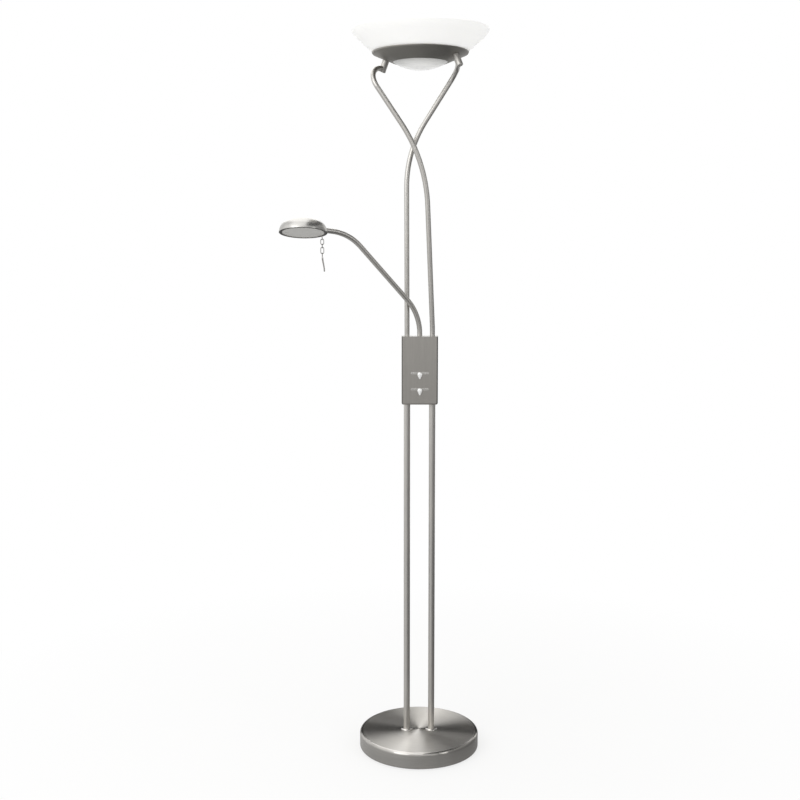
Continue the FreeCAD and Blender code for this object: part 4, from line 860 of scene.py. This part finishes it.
@dataclass
class ControlBox(SubAssembly):
    """The dimmer box with its sheet-metal case, dimmers and sliders."""

    front: float = -22.0 * MM
    slot_levels: Pair = (972.0 * MM, 932.0 * MM)
    slot_half: float = 21.5 * MM
    slot_half_height: float = 1.5 * MM
    rim_width: float = 0.9 * MM
    rim_height: float = 0.35 * MM
    rim_wall: float = 0.45 * MM
    rim_depth: float = 1.3 * MM
    rim_gap: float = 0.03 * MM
    bend_points: int = 12
    knob_radius: float = 6.0 * MM
    knob_tip: float = 2.2 * MM
    knob_length: float = 17.2 * MM
    knob_above: float = 2.6 * MM
    knob_gap: float = 0.5 * MM
    knob_depth: float = 6.1 * MM
    knob_foot: float = 0.9
    knob_bevel: float = 0.4 * MM
    knob_rim: float = 0.45
    pillow_rows: int = 8
    pillow_step: float = 11.0
    shutter_depth: float = 1.8 * MM
    shutter_thickness: float = 0.4 * MM
    shutter_half: float = 25.0 * MM
    shutter_half_height: float = 3.2 * MM
    corner_steps: int = 4

    def build(self) -> None:
        """Dresses the box and lines its two slots."""
        sheet = BrushedSheet("brushed_sheet", "box_enamel")
        self.dress(sheet, "box_front_cover", "box_back_plate")
        plate = PolishedNickel("top_plate_nickel", "polished_nickel", roughness=0.2)
        self.dress(plate, "box_top_plate")
        self.dress(PLATED, "box_chassis")
        self.dress(CircuitBoard("circuit_board", "circuit_board"), "dimmer_board")
        self.dress(BLACK, "board_spacers", "slide_controls", "dimmer_triacs", "terminal_block")
        self.dress(BLACK, "slider_lever_upper", "slider_lever_lower")
        self.dress(WoundCopper("wound_copper", "copper_winding"), "dimmer_chokes")
        silver = MetallisedPlastic("silver_knob", "silver_plastic")
        liner = MetallisedPlastic("silver_liner", "silver_plastic", tone=(0.56, 0.55, 0.53))
        for name, level in zip(("upper", "lower"), self.slot_levels):
            slider = f"{name}_dimmer_slider"
            self.add(self.knob(f"knob_{name}", level), slider, silver, f"slider_knob_{name}")
            self.add(self.shutter(f"shutter_{name}", level), slider, liner)
            self.add(self.slot_rim(f"slot_rim_{name}", level), "stand", liner)

    def knob(self, name: str, level: float) -> bpy.types.Mesh:
        """A pillow-shaped knob with a teardrop outline, point down.

        Args:
            name: The piece's name.
            level: Its slot's middle height.

        Returns:
            The mesh.
        """
        large, small = self.knob_radius, self.knob_tip
        apart = self.knob_length - large - small
        lean = math.degrees(math.asin((large - small) / apart))
        crown = level + self.knob_above - large
        steps = 2 * self.bend_points
        outline = arc((0.0, 0.0), large, -lean, 180.0 + lean, steps)
        outline += arc((0.0, -apart), small, 180.0 + lean, 360.0 - lean, steps)
        rear, edge = self.front - self.knob_gap, self.front - self.knob_rim * self.knob_depth
        rows = [(self.knob_foot, rear), (1.0, rear - self.knob_bevel), (1.0, edge)]
        for step in range(1, self.pillow_rows + 1):
            turn = math.radians(self.pillow_step * step)
            rise = (1.0 - self.knob_rim) * self.knob_depth * math.sin(turn)
            rows.append((math.cos(turn), edge - rise))
        points = [Vector((x * grow, y, crown + z * grow)) for grow, y in rows for x, z in outline]
        return mesh_from(name, points, capped_faces(len(rows), len(outline)))

    def shutter(self, name: str, level: float) -> bpy.types.Mesh:
        """A thin strip behind a slot, which slides with its lever and hides the inside.

        Args:
            name: The piece's name.
            level: The slot's middle height.

        Returns:
            The mesh.
        """
        near, radius = self.front + self.shutter_depth, 0.5 * self.shutter_half_height
        middle = self.shutter_half - radius
        corners = ((middle, radius), (-middle, radius), (-middle, -radius), (middle, -radius))
        outline = []
        for i, corner in enumerate(corners):
            outline += arc(corner, radius, 90.0 * i, 90.0 * (i + 1), self.corner_steps)
        depths = (near, near + self.shutter_thickness)
        points = [Vector((x, y, level + z)) for y in depths for x, z in outline]
        mesh = mesh_from(name, points, capped_faces(len(depths), len(outline)))
        mesh.shade_flat()
        return mesh

    def loop(self, grow: float, y: float, level: float) -> list[Vector]:
        """A round-ended slot's outline.

        Args:
            grow: How far it lies outside the slot's edge.
            y: Its place from front to back.
            level: The slot's middle height.

        Returns:
            The outline's points.
        """
        radius = self.slot_half_height + grow
        middle = self.slot_half - self.slot_half_height
        ends = arc((middle, level), radius, -90.0, 90.0, self.bend_points)
        ends += arc((-middle, level), radius, 90.0, 270.0, self.bend_points)
        return [Vector((x, y, z)) for x, z in ends]

    def slot_rim(self, name: str, level: float) -> bpy.types.Mesh:
        """A thin bright liner pressed into a slot, with a rounded flange on the front.

        Args:
            name: The piece's name.
            level: The slot's middle height.

        Returns:
            The mesh.
        """
        wall, gap, proud = self.rim_wall, self.rim_gap, self.front - self.rim_height
        outline = (
            (self.rim_width, self.front - gap),
            (self.rim_width, self.front - 0.4 * self.rim_height),
            (0.75 * self.rim_width, self.front - 0.85 * self.rim_height),
            (0.4 * self.rim_width, proud),
            (-0.3 * wall, proud),
            (-0.8 * wall, self.front - 0.75 * self.rim_height),
            (-wall, self.front - 0.2 * self.rim_height),
            (-wall, self.front + self.rim_depth),
            (-gap, self.front + self.rim_depth),
            (-gap, self.front - gap),
        )
        points = [p for grow, y in outline for p in self.loop(grow, y, level)]
        around = 2 * (self.bend_points + 1)
        return mesh_from(name, points, ring_faces(len(outline), around, closed=True))


@dataclass
class Gallery(SubAssembly):
    """The bent upper tubes, their posts, the ring, the glass bowl and the dome below."""

    def build(self) -> None:
        """Dresses the tubes, ring and glass."""
        self.dress(TUBE, "upper_tube_left", "upper_tube_right")
        self.dress(TUBE, "ring_post_near", "ring_post_far")
        # Painted shade: the ring's tone is a darker copy of the satin nickel, standing in for the
        # shade on its underside beneath the bowl.
        ring = SatinNickel(
            "ring_nickel", "satin_nickel", grain=Grain.TURNED, tone=(0.335, 0.325, 0.303),
            roughness=0.48, run=50.0 * MM, streak=0.08,
        )
        self.dress(ring, "gallery_ring")
        self.dress(OpalGlass("bowl_glass", "frosted_glass"), "glass_bowl")
        # The dome's rim band is painted shade: it darkens outwards where the ring shades the dome.
        dome = OpalGlass(
            "dome_glass", "diffuser_glass", tone=(0.93, 0.93, 0.925), shade=(0.87, 0.87, 0.865),
            roughness=0.3, inside=0.3, rim=(36.0 * MM, 68.0 * MM),
        )
        self.dress(dome, "centre_diffuser")
        self.dress(PLATED, "diffuser_clips")


@dataclass
class Uplighter(SubAssembly):
    """The lamp in the bowl, on its bracket between two ceramic holders."""

    turn: float = 10.0
    level: float = 1758.56 * MM
    glass_half: float = 50.0 * MM
    glass_radius: float = 5.5 * MM
    glass_wall: float = 0.9 * MM
    glass_sides: int = 64
    cap_sides: int = 32
    pin_radius: float = 3.6 * MM
    pin_reach: float = 61.8 * MM
    coil_half: float = 40.0 * MM
    coil_radius: float = 1.0 * MM
    coil_turns: int = 90
    coil_wire: float = 0.16 * MM
    coil_sides: int = 6
    points_a_turn: int = 10

    def build(self) -> None:
        """Dresses the bracket and holders, and fits the lamp with its filament."""
        self.dress(PLATED, "lamp_bracket")
        self.dress(CERAMIC, "lampholders")
        self.dress(SHEATH, "lamp_leads")
        clear = ClearGlass("lamp_glass", "bulb_glass")
        glass = lathe("halogen_envelope", self.envelope(), self.stand(), self.glass_sides)
        self.add(glass, "stand", clear, "halogen_tube")
        for name, side in (("left", -1.0), ("right", 1.0)):
            self.add(self.end_cap(f"halogen_cap_{name}", side), "stand", CERAMIC)
        coil = self.coil()
        filament = wire("halogen_filament", coil, [self.coil_wire] * len(coil), self.coil_sides)
        self.add(filament, "stand", PLATED)

    def stand(self) -> Matrix:
        """The lamp's frame, whose z axis runs along the lamp."""
        along = Euler((0.0, math.radians(90.0), math.radians(self.turn)), "XYZ")
        return Matrix.Translation((0.0, 0.0, self.level)) @ along.to_matrix().to_4x4()

    def envelope(self) -> list[Pair]:
        """Closed profile of the hollow glass tube with its drawn-in ends.

        Returns:
            Radius and place along the lamp of each point.
        """
        outer, wall, half = self.glass_radius, self.glass_wall, self.glass_half
        right = [
            (outer, half - 7.0 * MM),
            (0.96 * outer, half - 5.0 * MM),
            (0.85 * outer, half - 3.2 * MM),
            (0.7 * outer, half - 1.8 * MM),
            (0.6 * outer, half),
        ]
        inner = [
            (0.6 * outer - wall, half),
            (0.6 * outer - wall, half - 2.2 * MM),
            (0.85 * outer - wall, half - 3.8 * MM),
            (outer - wall, half - 7.2 * MM),
        ]
        swell = [(outer, half / 3), (outer, -half / 3)]
        left, inner_left = ([(r, -z) for r, z in row] for row in (right, inner))
        return [*reversed(right), *swell, *left, *inner_left, *reversed(inner)]

    def end_cap(self, name: str, side: float) -> bpy.types.Mesh:
        """Ceramic end cap that sits in a holder.

        Args:
            name: The piece's name.
            side: -1 for the left end and 1 for the right.

        Returns:
            The mesh.
        """
        near, far, radius = self.glass_half - 1.0 * MM, self.pin_reach, self.pin_radius
        profile = [
            (0.3 * MM, near),
            (0.8 * radius, near),
            (radius, near + 0.6 * MM),
            (radius, far - 2.4 * MM),
            (0.7 * radius, far - 2.0 * MM),
            (0.7 * radius, far - 0.6 * MM),
            (0.55 * radius, far),
            (0.3 * MM, far),
        ]
        return lathe(name, [(r, side * z) for r, z in profile], self.stand(), self.cap_sides)

    def coil(self) -> list[Vector]:
        """Points along the filament: a close coil with a straight lead at each end."""
        stand = self.stand()
        count = self.coil_turns * self.points_a_turn
        points = [stand @ Vector((0.0, 0.0, -self.glass_half))]
        for i in range(count + 1):
            angle = 2.0 * math.pi * i / self.points_a_turn
            along = self.coil_half * (2.0 * i / count - 1.0)
            x, y = self.coil_radius * math.cos(angle), self.coil_radius * math.sin(angle)
            points.append(stand @ Vector((x, y, along)))
        points.append(stand @ Vector((0.0, 0.0, self.glass_half)))
        return points


@dataclass
class ReadingArm(SubAssembly):
    """The swivelling arm and what holds it in the box."""

    def build(self) -> None:
        """Dresses the arm."""
        self.dress(TUBE, "arm_tube")
        self.dress(BLACK, "arm_bush")
        self.dress(PLATED, "arm_spring_washer", "arm_nut", "head_swivel_pipe", "head_swivel_nut")
        self.dress(SHEATH, "arm_lead")


@dataclass
class ReadingHead(SubAssembly):
    """The small domed head with its lens, reflector and bulb."""

    arm_turn: float = 28.0
    arm_slope: float = 6.0
    roll: float = 11.0
    middle: Place = (-0.274609, -0.148714, 1.313699)

    def stand(self) -> Matrix:
        """The head's frame: x along the arm's end, z up the dome, origin in the rim's middle."""
        turn, slope, roll = (math.radians(v) for v in (self.arm_turn, self.arm_slope, self.roll))
        outward = Vector((-math.cos(turn), -math.sin(turn), 0.0))
        up = Vector((0.0, 0.0, 1.0))
        ahead = outward * math.cos(slope) + up * math.sin(slope)
        side = up.cross(outward).normalized()
        top = ahead.cross(side)
        across = side * math.cos(roll) + top * math.sin(roll)
        above = top * math.cos(roll) - side * math.sin(roll)
        axes = Matrix((ahead, across, above)).transposed().to_4x4()
        return Matrix.Translation(self.middle) @ axes

    def build(self) -> None:
        """Dresses the head."""
        stand = tuple(tuple(row) for row in self.stand())
        shell = SatinNickel(
            "shell_nickel", "satin_nickel", grain=Grain.TURNED, tone=(0.47, 0.462, 0.442),
            streak=0.06, stand=stand,
        )
        self.dress(shell, "head_shell")
        ring = PolishedNickel("lens_ring_nickel", "satin_nickel", roughness=0.2)
        self.dress(ring, "head_lens_ring")
        bush = PolishedNickel("swivel_nickel", "polished_nickel")
        self.dress(bush, "head_swivel_bush")
        # Painted shade: the lens's low tone is a dark copy of the opal glass, standing in for the
        # unlit head's inside seen through it.
        lens = OpalGlass(
            "lens_glass", "diffuser_glass", tone=(0.52, 0.515, 0.50), shade=(0.45, 0.445, 0.435),
            inside=0.1,
        )
        self.dress(lens, "head_lens")
        self.dress(SpunAluminium("reflector", "reflector_aluminium", stand=stand), "head_reflector")
        self.dress(PLATED, "head_bracket")
        self.dress(CERAMIC, "head_lampholder")
        self.dress(ClearGlass("capsule_glass", "bulb_glass"), "head_bulb")


@dataclass
class PullChain(SubAssembly):
    """The eyelet, three links and handle under the head."""

    eye_middle: Place = (-232.58 * MM, -115.98 * MM, 1263.99 * MM)
    eye_radius: float = 3.6 * MM
    eye_points: int = 32
    eye_turn: float = 345.0
    wire_radius: float = 0.9 * MM
    top_radius: float = 2.1 * MM
    tip_radius: float = 1.5 * MM
    rod_length: float = 35.8 * MM
    rod_points: int = 24
    bow: float = 4.5 * MM
    shoulder: float = 1.0 / 6.0
    tip_angles: tuple[float, ...] = (22.5, 45.0, 67.5, 85.0)
    sides: int = 16

    def build(self) -> None:
        """Dresses the chain."""
        chain = PolishedNickel(
            "chain_nickel", "polished_nickel", tone=(0.40, 0.39, 0.37), roughness=0.22
        )
        links = (f"chain_link_{place}" for place in ("upper", "middle", "lower"))
        self.dress(chain, "chain_eyelet", *links)
        self.add(self.handle(), "handle", chain, "pull_handle")

    def handle(self) -> bpy.types.Mesh:
        """A slightly bent rod whose wire is turned into an eye at the top.

        Returns:
            The mesh.
        """
        eye = Vector(self.eye_middle)
        route, radii = [], []
        for i in range(self.eye_points + 1):
            angle = math.radians(-90.0 + self.eye_turn * (1.0 - i / self.eye_points))
            route.append(eye + Vector((0.0, math.cos(angle), math.sin(angle))) * self.eye_radius)
            radii.append(self.wire_radius)
        for i in range(1, self.rod_points + 1):
            share = i / self.rod_points
            bow = self.bow * math.sin(0.5 * math.pi * share) ** 2
            route.append(eye + Vector((bow, 0.0, -self.eye_radius - self.rod_length * share)))
            shoulder = min(share / self.shoulder, 1.0)
            shaft = self.top_radius + (self.tip_radius - self.top_radius) * share
            radii.append(self.wire_radius + (shaft - self.wire_radius) * shoulder)
        end = route[-1]
        for angle in self.tip_angles:
            turn = math.radians(angle)
            route.append(end + Vector((0.0, 0.0, -self.tip_radius * math.sin(turn))))
            radii.append(self.tip_radius * math.cos(turn))
        return wire("pull_handle_rod", route, radii, self.sides)


# Studio


@dataclass
class Softbox:
    """A square or oblong lamp that aims at a point of the lamp."""

    name: str
    place: Place
    aim: Place
    size: Pair
    power: float
    colour: Colour = (1.0, 1.0, 1.0)

    def build(self) -> None:
        """Hangs the softbox."""
        data = bpy.data.lights.new(self.name, "AREA")
        data.shape = "RECTANGLE"
        data.size, data.size_y = self.size
        data.energy = self.power
        data.color = self.colour
        box = put(self.name, data)
        box.location = self.place
        towards = Vector(self.aim) - Vector(self.place)
        box.rotation_euler = towards.to_track_quat("-Z", "Y").to_euler()
        box.visible_camera = False
        log.info("hung %s", self.name)


@dataclass
class Card:
    """A plain grey card outside the picture, which is seen only in reflections."""

    name: str
    corners: tuple[Place, ...]
    greys: Pair
    span: Pair = (0.0, 2.2)
    axis: str = "Z"

    def build(self) -> None:
        """Stands the card up."""
        mesh = bpy.data.meshes.new(self.name)
        mesh.from_pydata(self.corners, [], [(0, 1, 2, 3)])
        card = put(self.name, mesh)
        material = bpy.data.materials.new(self.name)
        desk = NodeDesk(material)
        along = desk.add("ShaderNodeSeparateXYZ", {0: desk.place()}).outputs[self.axis]
        grey = desk.levels(along, *self.span, *self.greys)
        desk.show(desk.add("ShaderNodeEmission", {"Color": WHITE, "Strength": grey}))
        material.cycles.emission_sampling = "NONE"
        mesh.materials.append(material)
        card.visible_camera = False
        card.visible_diffuse = False
        card.visible_transmission = False
        card.visible_shadow = False
        log.info("stood up %s", self.name)


@dataclass
class Studio:
    """Camera, pale floor, white surround, grey cards and soft lamps."""

    camera_place: Place = (-0.0490, -2.8757, 1.2655)
    camera_tilt: float = 82.803
    lens: float = 52.146
    sensor: float = 36.0
    floor_radius: float = 14.0
    floor_sides: int = 96
    floor_tone: Colour = (0.90, 0.90, 0.895)
    fade_start: float = 0.25
    fade_end: float = 1.5
    floor_white: float = 0.7
    fill: float = 0.84
    fill_tone: Colour = (1.0, 0.997, 0.985)
    room_side: float = 2.6
    room_front: float = -3.8
    room_height: float = 3.0
    card_foot: float = 0.001
    left_end: float = 0.6
    right_end: float = 2.4
    left_greys: Pair = (0.50, 1.35)
    right_greys: Pair = (0.18, 0.42)
    front_greys: Pair = (0.45, 0.85)
    floor_greys: Pair = (0.60, 0.16)
    floor_span: Pair = (-0.3, 0.35)
    back_place: float = 1.5
    back_half: float = 1.1
    back_height: float = 1.05
    back_grey: float = 0.07
    roof_sides: Pair = (-1.4, 0.35)
    roof_front: Pair = (-0.4, 3.3)
    roof_back: Pair = (2.3, 2.0)
    roof_grey: float = 2.1
    porch_front: Pair = (-2.4, 2.7)
    porch_grey: float = 1.6
    corner_front: Pair = (-2.4, 3.2)
    corner_back: Pair = (3.5, 3.2)
    corner_grey: float = 0.10
    softboxes: list[Softbox] = field(
        default_factory=lambda: [
            Softbox("key_softbox", (-1.9, -2.3, 2.7), (0.0, 0.0, 1.1), (1.8, 1.8), 30.0),
            Softbox("fill_softbox", (2.4, -1.9, 1.9), (0.0, 0.0, 1.0), (1.0, 1.6), 9.0),
            Softbox("top_softbox", (0.0, 0.4, 3.4), (0.0, 0.0, 0.0), (1.8, 1.8), 9.0),
        ]
    )

    def build(self) -> None:
        """Sets up the whole studio."""
        self.camera()
        self.surround()
        self.floor()
        for item in (*self.cards(), *self.softboxes):
            item.build()
        bpy.context.scene.view_settings.view_transform = "Standard"

    def cards(self) -> list[Card]:
        """Cards at both sides, in front, on the floor, low behind and overhead.

        Returns:
            The cards, none of which stands in the picture.
        """
        low, near, top = self.card_foot, self.room_front, self.room_height
        right, back, behind = self.room_side, self.back_half, self.back_place
        left = -right
        roof_right = self.roof_sides[1]

        def wall(name: str, start: Pair, end: Pair, height: float, greys: Pair) -> Card:
            """An upright card between two places on the floor."""
            corners = ((*start, low), (*end, low), (*end, height), (*start, height))
            return Card(name, corners, greys)

        def lid(
            name: str, sides: Pair, front: Pair, rear: Pair, greys: Pair, *along: Pair | str
        ) -> Card:
            """A level or sloping card, from the place and height of two of its edges."""
            start, end = sides
            corners = ((start, *front), (end, *front), (end, *rear), (start, *rear))
            return Card(name, corners, greys, *along)

        return [
            wall("left_card", (left, near), (left, self.left_end), top, self.left_greys),
            wall("right_card", (right, near), (right, self.right_end), top, self.right_greys),
            wall("front_card", (left, near), (right, near), top, self.front_greys),
            wall(
                "back_card", (-back, behind), (back, behind), self.back_height,
                (self.back_grey,) * 2,
            ),
            lid(
                "floor_card", (left, right), (near, low), (behind, low), self.floor_greys,
                self.floor_span, "X",
            ),
            lid(
                "roof_card", self.roof_sides, self.roof_front, self.roof_back,
                (self.roof_grey,) * 2,
            ),
            lid(
                "porch_card", (left, roof_right), self.porch_front, self.roof_front,
                (self.porch_grey,) * 2,
            ),
            lid(
                "corner_card", (roof_right, right), self.corner_front, self.corner_back,
                (self.corner_grey,) * 2,
            ),
        ]

    def camera(self) -> None:
        """Stands the camera in front of the lamp."""
        data = bpy.data.cameras.new("camera")
        data.sensor_width = self.sensor
        data.lens = self.lens
        data.clip_end = 100.0
        camera = put("camera", data)
        camera.location = self.camera_place
        camera.rotation_euler = (math.radians(self.camera_tilt), 0.0, 0.0)
        bpy.context.scene.camera = camera

    @staticmethod
    def seen(desk: NodeDesk) -> Socket:
        """Tells what is seen, straight, mirrored or through glass, from light on the lamp.

        Args:
            desk: The node tree to add to.

        Returns:
            1 for what is seen and 0 for light.
        """
        path = desk.add("ShaderNodeLightPath").outputs
        turned = desk.maths("MAXIMUM", path["Is Glossy Ray"], path["Is Transmission Ray"])
        return desk.maths("MAXIMUM", path["Is Camera Ray"], turned)

    def surround(self) -> None:
        """White all round for the eye, and a softer light for the lamp."""
        world = bpy.data.worlds.new("surround")
        bpy.context.scene.world = world
        desk = NodeDesk(world)
        white = desk.find("BACKGROUND")
        desk.feed(white.inputs["Color"], WHITE)
        desk.feed(white.inputs["Strength"], 1.0)
        soft = desk.add("ShaderNodeBackground", {"Color": self.fill_tone, "Strength": self.fill})
        feeds = {0: self.seen(desk), 1: soft.outputs[0], 2: white.outputs[0]}
        desk.show(desk.add("ShaderNodeMixShader", feeds))

    def floor(self) -> None:
        """Lays a pale floor that turns into the white surround and keeps the shadow."""
        work = bmesh.new()
        size = {"radius": self.floor_radius, "segments": self.floor_sides}
        bmesh.ops.create_circle(work, cap_ends=True, **size)
        mesh = bpy.data.meshes.new("floor")
        work.to_mesh(mesh)
        work.free()
        floor = put("floor", mesh)
        mesh.materials.append(self.floor_material())

    def floor_material(self) -> bpy.types.Material:
        """Pale matt floor, part of which is plain white to the eye.

        Returns:
            The material.
        """
        material = bpy.data.materials.new("pale_floor")
        desk = NodeDesk(material)
        mottle = desk.noise(desk.place(), 5.0, 3.0)
        dim = tinted(self.floor_tone, 0.985)
        desk.set(Base_Color=desk.blend(mottle, self.floor_tone, dim), Roughness=0.7)
        away = desk.vector("LENGTH", desk.place()).outputs["Value"]
        share = desk.levels(away, self.fade_start, self.fade_end, self.floor_white, 1.0)
        glow = desk.add("ShaderNodeEmission", {"Color": WHITE, "Strength": 1.0})
        shown = desk.maths("MULTIPLY", share, self.seen(desk))
        feeds = {0: shown, 1: desk.shader.outputs[0], 2: glow.outputs[0]}
        desk.show(desk.add("ShaderNodeMixShader", feeds))
        return material


# Shared finishes and the run

TUBE = SatinNickel(
    "tube_nickel", "satin_nickel", grain=Grain.EVEN, tone=(0.50, 0.487, 0.463), roughness=0.38,
    pitch=0.35 * MM, streak=0.05,
)
PLATED = PlatedSteel("plated_steel", "zinc_steel")
BLACK = Moulded("black_plastic", "black_plastic")
CERAMIC = Moulded(
    "glazed_ceramic", "ceramic", (0.86, 0.84, 0.78), (0.80, 0.775, 0.71), roughness=0.25,
    depth=0.01 * MM,
)
SHEATH = Moulded(
    "lead_sheath", "lead_sheath", (0.82, 0.81, 0.78), (0.76, 0.75, 0.71), roughness=0.6,
    texture=250.0,
)


def main() -> None:
    """Builds the studio, then each sub-assembly from the floor up."""
    logging.basicConfig(level=logging.INFO, format="%(name)s: %(message)s")
    Studio().build()
    assemblies: tuple[SubAssembly, ...] = (
        Base(),
        Poles(),
        ControlBox(),
        Gallery(),
        Uplighter(),
        ReadingArm(),
        ReadingHead(),
        PullChain(),
    )
    for assembly in assemblies:
        assembly.build()
        log.info("finished %s", type(assembly).__name__)


if __name__ == "__main__":
    main()
